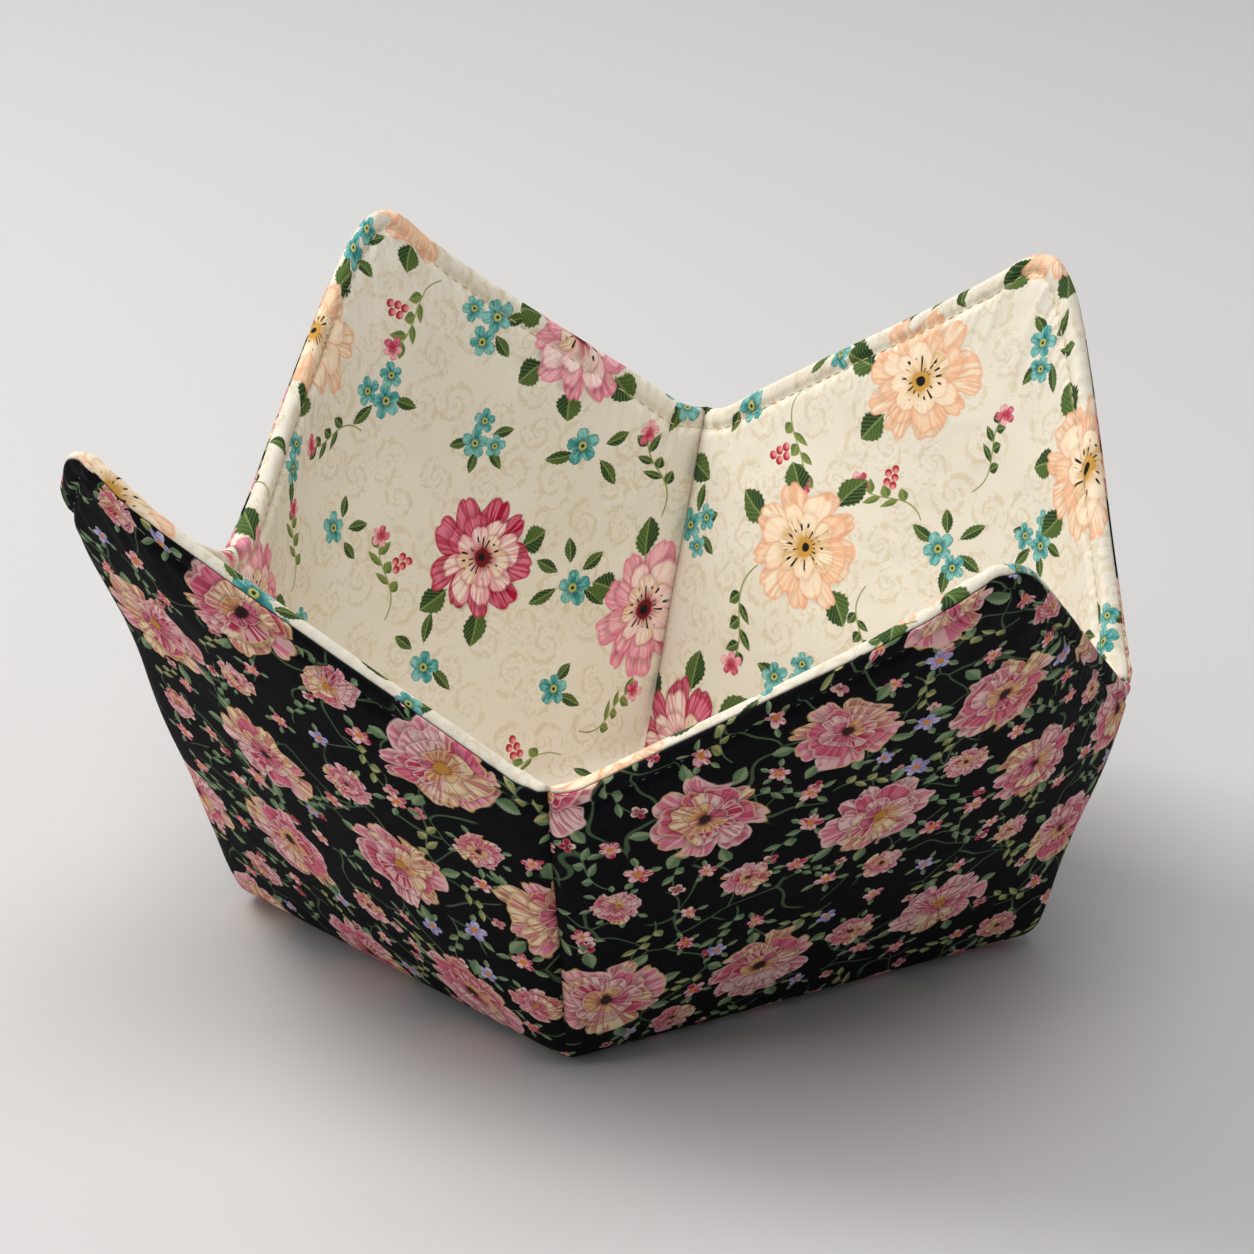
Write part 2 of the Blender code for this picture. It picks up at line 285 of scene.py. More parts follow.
def base_corner(seam):
    reach = BASE_REACH_SIDE if seam % 2 else BASE_REACH_FRONT
    return compass(reach + BASE_REACH_EXTRA[seam], seam, BASE_TURN[seam], 0.0)


def valley(seam):
    reach = VALLEY_REACH + VALLEY_REACH_EXTRA[seam]
    return compass(reach, seam, VALLEY_TURN[seam], VALLEY_HEIGHT + VALLEY_HEIGHT_EXTRA[seam])


def tip(wall):
    reach = TIP_REACH + TIP_REACH_EXTRA[wall]
    return compass(reach, wall + 0.5, TIP_TURN[wall], TIP_HEIGHT + TIP_HEIGHT_EXTRA[wall])


def unit(vectors):
    return vectors / np.maximum(np.linalg.norm(vectors, axis=-1, keepdims=True), 1e-12)


def mirrored(flat):
    return flat * np.array((-1.0, 1.0))


def past_bend(flat, side):
    """Distance of flat points past the soft bend that runs from a base corner to the rim beside the tip."""
    corner = np.array((side * FLAT_BASE[0], 0.0))
    low = np.array((side * FLAT_VALLEY[0], FLAT_VALLEY[1]))
    along = unit(FLAT_TIP + (low - FLAT_TIP) * BEND_START - corner)
    across = np.array((side * along[1], -side * along[0]))
    return (flat - corner) @ across


def wall_points(wall, flat):
    """Where points of the flat wall stand: a plane up to the tip, bent softly towards both dart seams."""
    left, right, top = base_corner(wall), base_corner((wall + 1) % 4), tip(wall)
    middle = (left + right) / 2
    width = (right - left) / (2 * FLAT_BASE[0])
    rise = (top - middle) / FLAT_TIP[1]
    points = middle + flat[..., :1] * width + flat[..., 1:] * rise
    reach = past_bend(FLAT_VALLEY, 1)
    steepest = BEND_SPREAD * FLAT_TIP[1] / pi * reach / FLAT_VALLEY[1]
    spread = np.maximum(steepest * np.sin(pi * flat[..., 1] / FLAT_TIP[1]), 1e-9)
    for side, seam in ((-1, wall), (1, (wall + 1) % 4)):
        on_plane = middle + width * side * FLAT_VALLEY[0] + rise * FLAT_VALLEY[1]
        pull = (valley(seam) - on_plane) / reach
        share = TIGHT_BEND_SHARE if (wall, side) == TIGHT_BEND else 1.0
        points = points + fold(past_bend(flat, side), spread * share)[..., None] * pull
    return points


def rim_flat(share, inset):
    """The finished edge of the flat wall, from its left dart (share 0) over the tip to the right (1)."""
    half = HALF_SIDE - inset
    low = FLAT_BASE + (FLAT_VALLEY - FLAT_BASE) * (half - DART_POINT) / (HALF_SIDE - DART_POINT)
    top = np.array((0.0, 2 * half - DART_POINT)) / sqrt(2)
    down = unit(low - top)
    length = np.linalg.norm(low - top)
    past_tip = (2 * share - 1) * length
    from_valley = (length - np.abs(past_tip))[..., None]
    seam_line = unit(FLAT_VALLEY - FLAT_BASE)
    beyond = 2 * (seam_line @ -down) * seam_line + down
    valley_side = low - down * fold(from_valley, VALLEY_CURVE) + beyond * fold(-from_valley, VALLEY_CURVE)
    past_tip = past_tip[..., None]
    valley_side = np.where(past_tip > 0, valley_side, mirrored(valley_side))
    tip_side = top + mirrored(down) * fold(-past_tip, CORNER_CURVE) + down * fold(past_tip, CORNER_CURVE)
    return np.where(from_valley < VALLEY_CURVE, valley_side, tip_side)


def column_shares():
    even = np.linspace(0.0, 1.0, COLUMNS + 1)
    return even - COLUMN_CROWDING * np.sin(4 * pi * even) / (4 * pi)


SHARES = column_shares()
FEET = np.stack(((2 * SHARES - 1) * FLAT_BASE[0], np.zeros(COLUMNS + 1)), axis=-1)
ROLL_TOPS = rim_flat(SHARES, ROLL_RADIUS)
EDGE_TOPS = rim_flat(SHARES, 0.0)
CLIMB = unit(ROLL_TOPS - FEET)
LENGTHS = np.linalg.norm(ROLL_TOPS - FEET, axis=-1)
RIM_TANGENTS = unit(np.gradient(EDGE_TOPS, axis=0))
RIM_OUTWARDS = np.stack((-RIM_TANGENTS[:, 1], RIM_TANGENTS[:, 0]), axis=-1)


def row_distances():
    """Distance of each row from the base edge along each column: close in the fold and below the rim."""
    slant = np.abs((CLIMB * RIM_OUTWARDS).sum(-1))
    rim_start = LENGTHS - RIM_BAND / np.maximum(slant, 0.5)
    low = np.linspace(0.0, BASE_FOLD * 1.3, BASE_ROWS, endpoint=False)
    rows = np.zeros((COLUMNS + 1, ROWS + 1))
    rows[:, :BASE_ROWS] = low
    middle = np.linspace(0.0, 1.0, MIDDLE_ROWS, endpoint=False)
    start = BASE_FOLD * 1.3
    rows[:, BASE_ROWS:BASE_ROWS + MIDDLE_ROWS] = start + (rim_start[:, None] - start) * middle
    top = np.linspace(0.0, 1.0, RIM_ROWS + 1)
    rows[:, BASE_ROWS + MIDDLE_ROWS:] = rim_start[:, None] + (LENGTHS - rim_start)[:, None] * top
    return rows


DISTANCES = row_distances()
FLAT = FEET[:, None] + CLIMB[:, None] * DISTANCES[..., None]          # column, row, flat place on the wall
RIM_DISTANCE = ((EDGE_TOPS[:, None] - FLAT) * RIM_OUTWARDS[:, None]).sum(-1)
SEAM_LINE = unit(FLAT_VALLEY - FLAT_BASE)
SEAM_ACROSS = np.array((SEAM_LINE[1], -SEAM_LINE[0]))
RIGHT_SEAM_DISTANCE = np.abs((FLAT - FLAT_BASE) @ SEAM_ACROSS)
LEFT_SEAM_DISTANCE = np.abs((mirrored(FLAT) - FLAT_BASE) @ SEAM_ACROSS)
SEAM_DISTANCE = np.minimum(LEFT_SEAM_DISTANCE, RIGHT_SEAM_DISTANCE)
RIM_LENGTH = np.concatenate(([0.0], np.cumsum(np.linalg.norm(np.diff(EDGE_TOPS, axis=0), axis=-1))))


def smooth_step(value):
    value = np.clip(value, 0.0, 1.0)
    return value * value * (3 - 2 * value)


def fading(distance, reach):
    """1 at the line itself, falling softly to 0 at the reach."""
    return 1.0 - smooth_step(distance / reach)


# The grid: the base and, around it, the ring of wall columns.
RING = 4 * COLUMNS
BASE_COUNT = (COLUMNS + 1) ** 2


def ring_place(column):
    """Grid indices on the base's boundary below a ring column."""
    wall, step = divmod(column % RING, COLUMNS)
    return ((step, 0), (COLUMNS, step), (COLUMNS - step, COLUMNS), (0, COLUMNS - step))[wall]


BOUNDARY = np.array([ring_place(column) for column in range(RING)]) @ (COLUMNS + 1, 1)


def ring_index(column, row, rows):
    """Vertex number of a ring column and row, where row 0 is the base's boundary."""
    column = np.asarray(column) % RING
    row = np.asarray(row)
    return np.where(row == 0, BOUNDARY[column], BASE_COUNT + column * rows + row - 1)


def base_quads():
    i, j = np.meshgrid(np.arange(COLUMNS), np.arange(COLUMNS), indexing="ij")
    first = (i * (COLUMNS + 1) + j).ravel()
    step = COLUMNS + 1
    return np.stack((first, first + 1, first + step + 1, first + step), axis=-1)


def wall_quads(rows):
    column, row = np.meshgrid(np.arange(RING), np.arange(rows), indexing="ij")
    column, row = column.ravel(), row.ravel()
    corners = ((column, row), (column + 1, row), (column + 1, row + 1), (column, row + 1))
    return np.stack([ring_index(c, r, rows) for c, r in corners], axis=-1)


def wall_normals(wall):
    """Outward unit normals of the flat-folded wall, before any seam is rounded."""
    step = 2e-4
    across = wall_points(wall, FLAT + (step, 0.0)) - wall_points(wall, FLAT - (step, 0.0))
    upwards = wall_points(wall, FLAT + (0.0, step)) - wall_points(wall, FLAT)
    return unit(np.cross(across, upwards))


def even_step(*normals):
    """The step that takes a point one metre below each of two or three planes at once."""
    if len(normals) == 2:
        first, second = normals
        return -(first + second) / (1.0 + (first * second).sum(-1, keepdims=True))
    return np.linalg.solve(np.array(normals), -np.ones(3))


DOWN = np.array((0.0, 0.0, -1.0))


class Skin:
    """The outer face of the cover: its points, and at each the step that goes one metre into the cloth."""

    def __init__(self):
        normals = [wall_normals(wall) for wall in range(4)]
        self.wall_spots = np.zeros((RING, ROWS + 1, 3))
        self.wall_steps = np.zeros((RING, ROWS + 1, 3))
        self.base_spots, self.base_steps = self.base(normals)
        for wall in range(4):
            columns = slice(wall * COLUMNS, (wall + 1) * COLUMNS)
            spots = self.wall_surface(wall)
            steps = self.wall_steps_of(wall, normals)
            self.wall_spots[columns] = spots[:-1]
            self.wall_steps[columns] = steps[:-1]
        self.rises = np.concatenate([self.rim_rise(wall)[:-1] for wall in range(4)])

    def base_shares(self):
        width = 2 * FLAT_BASE[0]
        low = fold(SHARES * width, BASE_FOLD) / width
        high = 1.0 - fold((1.0 - SHARES) * width, BASE_FOLD) / width
        return np.where(SHARES <= 0.5, low, high)

    def base_point(self, x, y):
        x, y = x[..., None], y[..., None]
        front = base_corner(0) + (base_corner(1) - base_corner(0)) * x
        back = base_corner(3) + (base_corner(2) - base_corner(3)) * x
        return front + (back - front) * y

    def climb(self, wall, shares, amount):
        """How far the wall goes from its foot when it climbs by an amount along its column."""
        feet = np.stack(((2 * shares - 1) * FLAT_BASE[0], np.zeros_like(shares)), axis=-1)
        ways = unit(rim_flat(shares, ROLL_RADIUS) - feet)
        return wall_points(wall, feet + ways * amount[..., None]) - wall_points(wall, feet)

    def base(self, normals):
        drawn = self.base_shares()
        x, y = np.meshgrid(drawn, drawn, indexing="ij")
        share_x, share_y = np.meshgrid(SHARES, SHARES, indexing="ij")
        spots = self.base_point(x, y)
        width = 2 * FLAT_BASE[0]
        sides = ((share_x, share_y), (share_y, 1 - share_x),
                 (1 - share_x, 1 - share_y), (1 - share_y, share_x))
        lifts, amounts = [], []
        for wall, (along, inwards) in enumerate(sides):
            amount = fold(-inwards * width, BASE_FOLD)
            amounts.append(amount)
            lifts.append(self.climb(wall, along, amount))
        total = sum(amount ** 4 for amount in amounts) ** 0.25
        weight = np.maximum(sum(amounts), 1e-9)
        lift = sum(lifts)
        spots = spots + lift * (total / weight)[..., None]
        steps = np.zeros_like(spots) - DOWN
        near = [fading(inwards * width, FOLD_SPREAD)[..., None] for along, inwards in sides]
        edge_steps = []
        for wall, (along, inwards) in enumerate(sides):
            edge = even_step(normals[wall][:, 0], np.broadcast_to(DOWN, (COLUMNS + 1, 3))) + DOWN
            where = np.interp(along, SHARES, np.arange(COLUMNS + 1)).round().astype(int)
            edge_steps.append(edge)
            steps = steps + edge[where] * near[wall]
        for wall in range(4):
            before = (wall + 3) % 4
            corner = even_step(normals[wall][0, 0], normals[before][-1, 0], DOWN) + DOWN
            extra = corner - edge_steps[wall][0] - edge_steps[before][-1]
            steps = steps + extra * near[wall] * near[before]
        return spots, steps

    def wall_surface(self, wall):
        spots = wall_points(wall, FLAT)
        turned = DISTANCES < BASE_FOLD
        climbed = fold(DISTANCES, BASE_FOLD)
        feet = wall_points(wall, FEET)[:, None]
        lifted = wall_points(wall, FEET[:, None] + CLIMB[:, None] * climbed[..., None]) - feet
        inside = fold(-DISTANCES, BASE_FOLD) / (2 * FLAT_BASE[0])
        drawn = SHARES[:, None] + (self.base_shares() - SHARES)[:, None] * fading(DISTANCES, BASE_FOLD)
        x, y = ((drawn, inside), (1 - inside, drawn), (1 - drawn, 1 - inside), (inside, 1 - drawn))[wall]
        return np.where(turned[..., None], self.base_point(x, y) + lifted, spots)

    def wall_steps_of(self, wall, normals):
        own = normals[wall]
        left = even_step(own[0], normals[(wall + 3) % 4][-1]) + own[0]
        right = even_step(own[-1], normals[(wall + 1) % 4][0]) + own[-1]
        foot = even_step(own[:, 0], np.broadcast_to(DOWN, (COLUMNS + 1, 3))) + own[:, 0]
        near_left = fading(LEFT_SEAM_DISTANCE, SEAM_SPREAD)[..., None]
        near_right = fading(RIGHT_SEAM_DISTANCE, SEAM_SPREAD)[..., None]
        near_foot = fading(FLAT[..., 1], FOLD_SPREAD)[..., None]
        steps = -own + left * near_left + right * near_right + foot[:, None] * near_foot
        low_left = even_step(own[0, 0], normals[(wall + 3) % 4][-1, 0], DOWN) + own[0, 0]
        low_right = even_step(own[-1, 0], normals[(wall + 1) % 4][0, 0], DOWN) + own[-1, 0]
        steps = steps + (low_left - left[0] - foot[0]) * near_left * near_foot
        return steps + (low_right - right[0] - foot[-1]) * near_right * near_foot

    def rim_rise(self, wall):
        return wall_points(wall, EDGE_TOPS) - wall_points(wall, ROLL_TOPS)


class Cloth:
    """Fine shape of the sewn cloth: how far its two faces stand out from the plain layers, and where."""

    def __init__(self, skin):
        self.skin = skin
        self.wall_spots, self.base_spots = self.softened(skin)
        self.waves = self.wave_heights(self.wall_spots)
        self.base_waves = self.wave_heights(self.base_spots)

    def softened(self, skin):
        """Rounds the feet of the seams and the fold, and leaves the rim and the upper seams as they are."""
        spots = np.concatenate((skin.base_spots.reshape(-1, 3), skin.wall_spots[:, 1:].reshape(-1, 3)))
        quads = np.concatenate((base_quads(), wall_quads(ROWS)))
        lines = np.concatenate([quads[:, [a, (a + 1) % 4]] for a in range(4)])
        lines = np.unique(np.sort(lines, axis=1), axis=0)
        count = np.bincount(lines.ravel(), minlength=len(spots))
        near_seam = fading(SEAM_DISTANCE, SOFT_SEAM_WIDTH)
        up_seam = smooth_step((FLAT[..., 1] - SOFT_SEAM_HEIGHT / 2) / SOFT_SEAM_HEIGHT)
        freedom = (1 - near_seam * up_seam) * smooth_step((RIM_DISTANCE - RIM_BAND) / RIM_BAND)
        freedom = np.tile(freedom[:-1], (4, 1))[:, 1:]
        width = 2 * FLAT_BASE[0]
        inwards = np.minimum(SHARES, 1 - SHARES) * width
        base_freedom = fading(np.minimum(inwards[:, None], inwards[None, :]), 2 * BASE_FOLD)
        free = np.concatenate((base_freedom.ravel(), freedom.ravel()))[:, None] * SMOOTHING
        for _ in range(SMOOTHING_PASSES):
            total = np.stack([np.bincount(lines[:, 0], spots[lines[:, 1], axis], len(spots))
                              + np.bincount(lines[:, 1], spots[lines[:, 0], axis], len(spots))
                              for axis in range(3)], axis=-1)
            spots = spots + (total / count[:, None] - spots) * free
        spots[:, 2] = np.maximum(spots[:, 2], 0.0)
        walls = np.zeros_like(skin.wall_spots)
        walls[:, 0] = spots[BOUNDARY]
        walls[:, 1:] = spots[BASE_COUNT:].reshape(RING, ROWS, 3)
        return walls, spots[:BASE_COUNT].reshape(COLUMNS + 1, COLUMNS + 1, 3)

    def wave_heights(self, spots):
        """Soft unevenness of the whole wall, from a few long waves in random directions."""
        chance = np.random.default_rng(WAVE_SEED)
        height = np.zeros(spots.shape[:-1])
        for length, amount in WAVES:
            for _ in range(WAVE_COUNT):
                way = unit(chance.normal(size=3)) * 2 * pi / length
                bend = unit(chance.normal(size=3)) * pi / length
                start, turn = chance.uniform(0, 2 * pi, 2)
                height += amount * np.sin(spots @ way + start + 1.3 * np.sin(spots @ bend + turn))
        return height

    def ring(self, values):
        """Repeats what is worked out for one wall around the ring."""
        return np.tile(values[:-1], (4, 1))

    def outer_height(self):
        """How far the cover's face stands proud of the plain wall, on the walls."""
        up = smooth_step(FLAT[..., 1] / FOOT_RISE)
        crease = -OUTER_CREASE / (1 + (SEAM_DISTANCE / CREASE_WIDTH) ** 2)
        puff = bump(SEAM_DISTANCE, PUFF_PLACE) * OUTER_PUFF
        groove = -OUTER_GROOVE * np.exp(-((RIM_DISTANCE - STITCH_INSET) / GROOVE_WIDTH) ** 2)
        crown = CROWN * (1 - np.exp(-np.maximum(RIM_DISTANCE - STITCH_INSET, 0) / CROWN_REACH))
        crown = crown * (1 - np.exp(-SEAM_DISTANCE / CROWN_REACH))
        roll = OUTER_ROLL * fading(RIM_DISTANCE, STITCH_INSET)
        plain = self.ring(((crease + puff) * self.seam_fade() + crown) * up + groove + roll)
        return plain + self.pleats(1.0) + self.waves * self.ring(up * self.away_from_rim())

    def inner_height(self):
        """How far the lining's face stands proud of the plain wall, on the walls."""
        crease = -INNER_CREASE / (1 + (SEAM_DISTANCE / INNER_CREASE_WIDTH) ** 2)
        puff = bump(SEAM_DISTANCE, PUFF_PLACE) * INNER_PUFF
        groove = -INNER_GROOVE * np.exp(-((RIM_DISTANCE - STITCH_INSET) / GROOVE_WIDTH) ** 2)
        crown = INNER_CROWN * (1 - np.exp(-np.maximum(RIM_DISTANCE - STITCH_INSET, 0) / CROWN_REACH))
        crown = crown * (1 - np.exp(-SEAM_DISTANCE / CROWN_REACH)) * smooth_step(FLAT[..., 1] / FOOT_RISE)
        roll = INNER_ROLL * fading(RIM_DISTANCE, STITCH_INSET)
        plain = self.ring((crease + puff) * self.seam_fade() + groove + crown + roll)
        return plain + self.pleats(2.0) - self.waves * self.ring(self.away_from_rim())

    def seam_fade(self):
        """A dart's seam fades out at its point and lies flatter under the topstitching."""
        return smooth_step(FLAT[..., 1] / DART_FADE)

    def away_from_rim(self):
        return 0.35 + 0.65 * smooth_step((RIM_DISTANCE - STITCH_INSET) / WAVE_FADE)

    def pleats(self, start):
        """Small pleats that fan out below the low points of the rim and below the tips."""
        height = []
        half = RIM_LENGTH[-1] / 2
        below = np.maximum(RIM_DISTANCE - STITCH_INSET, 0)
        near_rim = np.exp(-below / PLEAT_REACH) * smooth_step(RIM_DISTANCE / STITCH_INSET)
        for wall in range(4):
            along = RIM_LENGTH[:, None]
            from_low = np.minimum(along, 2 * half - along)
            phase = 2 * pi * from_low / PLEAT_PITCH + start + 2.1 * wall
            low = np.sin(phase + 0.8 * np.sin(phase * 0.6)) * np.exp(-(from_low / PLEAT_SPREAD) ** 2)
            from_tip = np.abs(along - half)
            phase = 2 * pi * (along - half) / TIP_PLEAT_PITCH + 1.7 * wall + start
            high = np.sin(phase + np.sin(phase * 0.7)) * np.exp(-(from_tip / TIP_PLEAT_SPREAD) ** 2)
            fan = np.exp(-below / TIP_PLEAT_REACH) * smooth_step(RIM_DISTANCE / STITCH_INSET)
            gather = smooth_step(from_low / CREASE_WIDTH / 2)
            height.append((PLEAT * low * near_rim * gather + TIP_PLEAT * high * fan)[:-1])
        return np.concatenate(height)

    def rolled(self, angle, swell):
        """The rim's roll: angle 0 is outside and 180 inside."""
        turn = radians(angle)
        outer = self.wall_spots[:, -1] - self.skin.wall_steps[:, -1] * self.outer_height()[:, -1:]
        inner_depth = WALL_DEPTH + self.inner_height()[:, -1:]
        inner = self.wall_spots[:, -1] + self.skin.wall_steps[:, -1] * inner_depth
        across = (1 - cos(turn)) / 2
        lift = (1 - ROLL_STRAIGHT) * sin(turn) + ROLL_STRAIGHT * min(1.0, 3 * sin(turn))
        return outer + (inner - outer) * across + self.skin.rises * lift * swell

    def outer_face(self, depth):
        height = self.outer_height()[..., None]
        return self.wall_spots + self.skin.wall_steps * (depth - height), \
            self.base_spots + self.skin.base_steps * depth

    def inner_face(self, depth):
        """The lining's face, or a face a depth under it, towards the cover."""
        height = self.inner_height()[..., None]
        base_height = (INNER_CROWN - self.base_waves * BASE_WAVE_SHARE)[..., None]
        edge = np.minimum(SHARES, 1 - SHARES) * 2 * FLAT_BASE[0]
        soft = smooth_step(np.minimum(edge[:, None], edge[None, :]) / FOOT_RISE)[..., None]
        walls = self.wall_spots + self.skin.wall_steps * (WALL_DEPTH + height - depth)
        base = self.base_spots + self.skin.base_steps * (WALL_DEPTH + base_height * soft - depth)
        foot = self.ring(1 - smooth_step(FLAT[..., 1] / FOOT_RISE))[..., None]
        walls = walls - self.skin.wall_steps * height * foot
        walls[:, 0] = base.reshape(-1, 3)[BOUNDARY]
        return walls, base


def bump(distance, place):
    """Zero at a seam, highest at a place beside it, and fading beyond."""
    share = distance / place
    return share * np.exp(1 - share)


def fabric_of_wall(wall, flat):
    """Place on the uncut square of cloth of points of a flat wall."""
    along, up = flat[..., :1], flat[..., 1:]
    middle = np.array((DART_POINT, -DART_POINT)) / 2
    spot = middle + along * np.array((1, 1)) / sqrt(2) + up * np.array((1, -1)) / sqrt(2)
    for _ in range(wall):
        spot = np.stack((-spot[..., 1], spot[..., 0]), axis=-1)
    return spot


def fabric_of_base():
    x, y = np.meshgrid(SHARES, SHARES, indexing="ij")
    return np.stack(((x - y) * DART_POINT, (x + y - 1) * DART_POINT), axis=-1)


class Sheet:
    """A closed thin mesh of one layer, with its maps: place on the cloth, along the rim, and motifs."""

    def __init__(self, faces_out, wall_face, base_face, wall_back, base_back, lip_flat):
        rows = wall_face.shape[1] - 1
        front = np.concatenate((base_face.reshape(-1, 3), wall_face[:, 1:].reshape(-1, 3)))
        back = np.concatenate((base_back.reshape(-1, 3), wall_back[:, 1:].reshape(-1, 3)))
        quads = np.concatenate((base_quads(), wall_quads(rows)))
        count = len(front)
        edge = ring_index(np.arange(RING), rows, rows)
        ahead = np.roll(edge, -1)
        rim = np.stack((edge, ahead, ahead + count, edge + count), axis=-1)
        self.spots = np.concatenate((front, back))
        turned = quads[:, ::-1] + count
        self.quads = np.concatenate((quads, turned, rim))
        if not faces_out:
            self.quads = self.quads[:, ::-1]
        self.fabric, self.rim = self.corner_maps(rows, lip_flat, faces_out)

    def corner_maps(self, rows, lip_flat, faces_out):
        """Maps at every face corner, because the cloth is cut apart at the darts."""
        flat = np.concatenate((FLAT, lip_flat), axis=1)
        out = ((EDGE_TOPS[:, None] - flat) * RIM_OUTWARDS[:, None]).sum(-1)
        along = np.broadcast_to(RIM_LENGTH[:, None], out.shape)
        base = fabric_of_base()
        i, j = np.meshgrid(np.arange(COLUMNS), np.arange(COLUMNS), indexing="ij")
        i, j = i.ravel(), j.ravel()
        around = ((i, j), (i, j + 1), (i + 1, j + 1), (i + 1, j))
        fabric = [np.stack([base[a, b] for a, b in around], axis=1)]
        rim = [np.full((len(i), 4, 2), 0.1)]
        k, r = np.meshgrid(np.arange(COLUMNS), np.arange(rows), indexing="ij")
        k, r = k.ravel(), r.ravel()
        around = ((k, r), (k + 1, r), (k + 1, r + 1), (k, r + 1))
        for wall in range(4):
            spots = fabric_of_wall(wall, flat)
            fabric.append(np.stack([spots[a, b] for a, b in around], axis=1))
            strip = np.stack((along + wall * RIM_LENGTH[-1], out), axis=-1)
            rim.append(np.stack([strip[a, b] for a, b in around], axis=1))
        fabric, rim = np.concatenate(fabric), np.concatenate(rim)
        ends = np.arange(RING)
        last = len(fabric) - 1 - (RING - 1 - ends) * rows
        edge = lambda values: np.broadcast_to(values[last][:, 2:3], (RING, 4, 2))
        parts = [(v, v[:, ::-1], edge(v)) for v in (fabric, rim)]
        maps = [np.concatenate(part) for part in parts]
        if not faces_out:
            maps = [values[:, ::-1] for values in maps]
        return maps

    def motif_map(self, layout):
        """For each face the nearest motif: its corners' places on it, turned and scaled, and its seed."""
        middles = self.fabric.mean(axis=1)
        centres, turns, sizes, seeds = layout
        nearest = np.zeros(len(middles), dtype=int)
        best = np.full(len(middles), np.inf)
        for number, centre in enumerate(centres):
            away = ((middles - centre) ** 2).sum(-1) / sizes[number] ** 2
            closer = away < best
            nearest[closer], best[closer] = number, away[closer]
        local = self.fabric - centres[nearest][:, None]
        turn = turns[nearest][:, None]
        x = (local[..., 0] * np.cos(turn) + local[..., 1] * np.sin(turn)) / sizes[nearest][:, None]
        y = (local[..., 1] * np.cos(turn) - local[..., 0] * np.sin(turn)) / sizes[nearest][:, None]
        return np.stack((x, y, np.broadcast_to(seeds[nearest][:, None], x.shape)), axis=-1)

    def make(self, name, material, layouts):
        data = bpy.data.meshes.new(name)
        data.vertices.add(len(self.spots))
        data.vertices.foreach_set("co", self.spots.astype(np.float32).ravel())
        data.loops.add(self.quads.size)
        data.loops.foreach_set("vertex_index", self.quads.astype(np.int32).ravel())
        data.polygons.add(len(self.quads))
        data.polygons.foreach_set("loop_start", np.arange(0, self.quads.size, 4, dtype=np.int32))
        data.update(calc_edges=True)
        for title, values in (("fabric", self.fabric), ("rim", self.rim)):
            layer = data.uv_layers.new(name=title)
            layer.uv.foreach_set("vector", values.astype(np.float32).ravel())
        for title, layout in layouts.items():
            field = data.attributes.new(title, "FLOAT_VECTOR", "CORNER")
            field.data.foreach_set("vector", self.motif_map(layout).astype(np.float32).ravel())
        data.validate()
        data.shade_smooth()
        data.materials.append(material)
        return placed(name, data)


def placed(name, data):
    """A new object in the scene."""
    thing = bpy.data.objects.new(name, data)
    bpy.context.scene.collection.objects.link(thing)
    return thing


def lip_places(angles, from_inside):
    """Flat places of the rows that go over the rim, carried on past the finished edge."""
    rows = []
    for angle in angles:
        travelled = ROLL_RADIUS * radians(180 - angle if from_inside else angle)
        rows.append(ROLL_TOPS + RIM_OUTWARDS * travelled)
    return np.stack(rows, axis=1)


def with_lip(cloth, angles):
    """The rows of the rolled rim with a last row tucked into the seam, and the same one thickness below."""
    middle = (cloth.rolled(0.0, 1.0) + cloth.rolled(180.0, 1.0)) / 2
    front = [cloth.rolled(angle, 1.0) for angle in angles]
    front.append(middle + (front[-1] - middle) * (1 - SEAM_DIP / ROLL_RADIUS))
    back = [middle + (spot - middle) * (1 - CLOTH / ROLL_RADIUS) for spot in front]
    return np.stack(front, axis=1), np.stack(back, axis=1)


def build_printed(cloth, name, outside, material, layouts):
    """A printed cotton with its part of the rolled rim, up to the edge seam."""
    gap = SEAM_LIP_GAP / ROLL_RADIUS * 180 / pi / 2
    if outside:
        face, first, reach, steps = cloth.outer_face, 0.0, SEAM_ANGLE - gap, COVER_LIP_STEPS
    else:
        face, first, reach, steps = cloth.inner_face, 180.0, SEAM_ANGLE + gap - 180, LINING_LIP_STEPS
    angles = [first + reach * (step + 1) / steps for step in range(steps)]
    walls, base = face(0.0)
    backs, base_back = face(CLOTH)
    front, back = with_lip(cloth, angles)
    flat = lip_places(angles + [SEAM_ANGLE], not outside)
    sheet = Sheet(outside, np.concatenate((walls, front), axis=1), base,
                  np.concatenate((backs, back), axis=1), base_back, flat)
    return sheet.make(name, material, layouts)


def build_batting(cloth, name, shares, material):
    """A sheet of batting between cover and lining; the shares say which part of the space it fills."""
    outer, base_outer = cloth.outer_face(CLOTH + LAYER_GAP)
    inner, base_inner = cloth.inner_face(CLOTH + LAYER_GAP)
    faces = []
    for share in shares:
        faces += [outer + (inner - outer) * share, base_outer + (base_inner - base_outer) * share]
    no_lip = np.zeros((COLUMNS + 1, 0, 2))
    sheet = Sheet(True, *faces, no_lip)
    return sheet.make(name, material, {})


def thread_line(walls, steps, stitch):
    """The line of topstitching on a face, at every column, and which way is out of the cloth there."""
    order = slice(None, None, -1)
    spots, outs = [], []
    for column in range(RING):
        out = RIM_DISTANCE[column % COLUMNS][order]
        row = np.interp(STITCH_INSET, out, np.arange(ROWS + 1)[order])
        low = int(min(row, ROWS - 1))
        share = row - low
        spots.append(walls[column, low] * (1 - share) + walls[column, low + 1] * share)
        outs.append(steps[column, low])
    outs = unit(np.array(outs))
    return np.array(spots) + outs * stitch.proud, outs


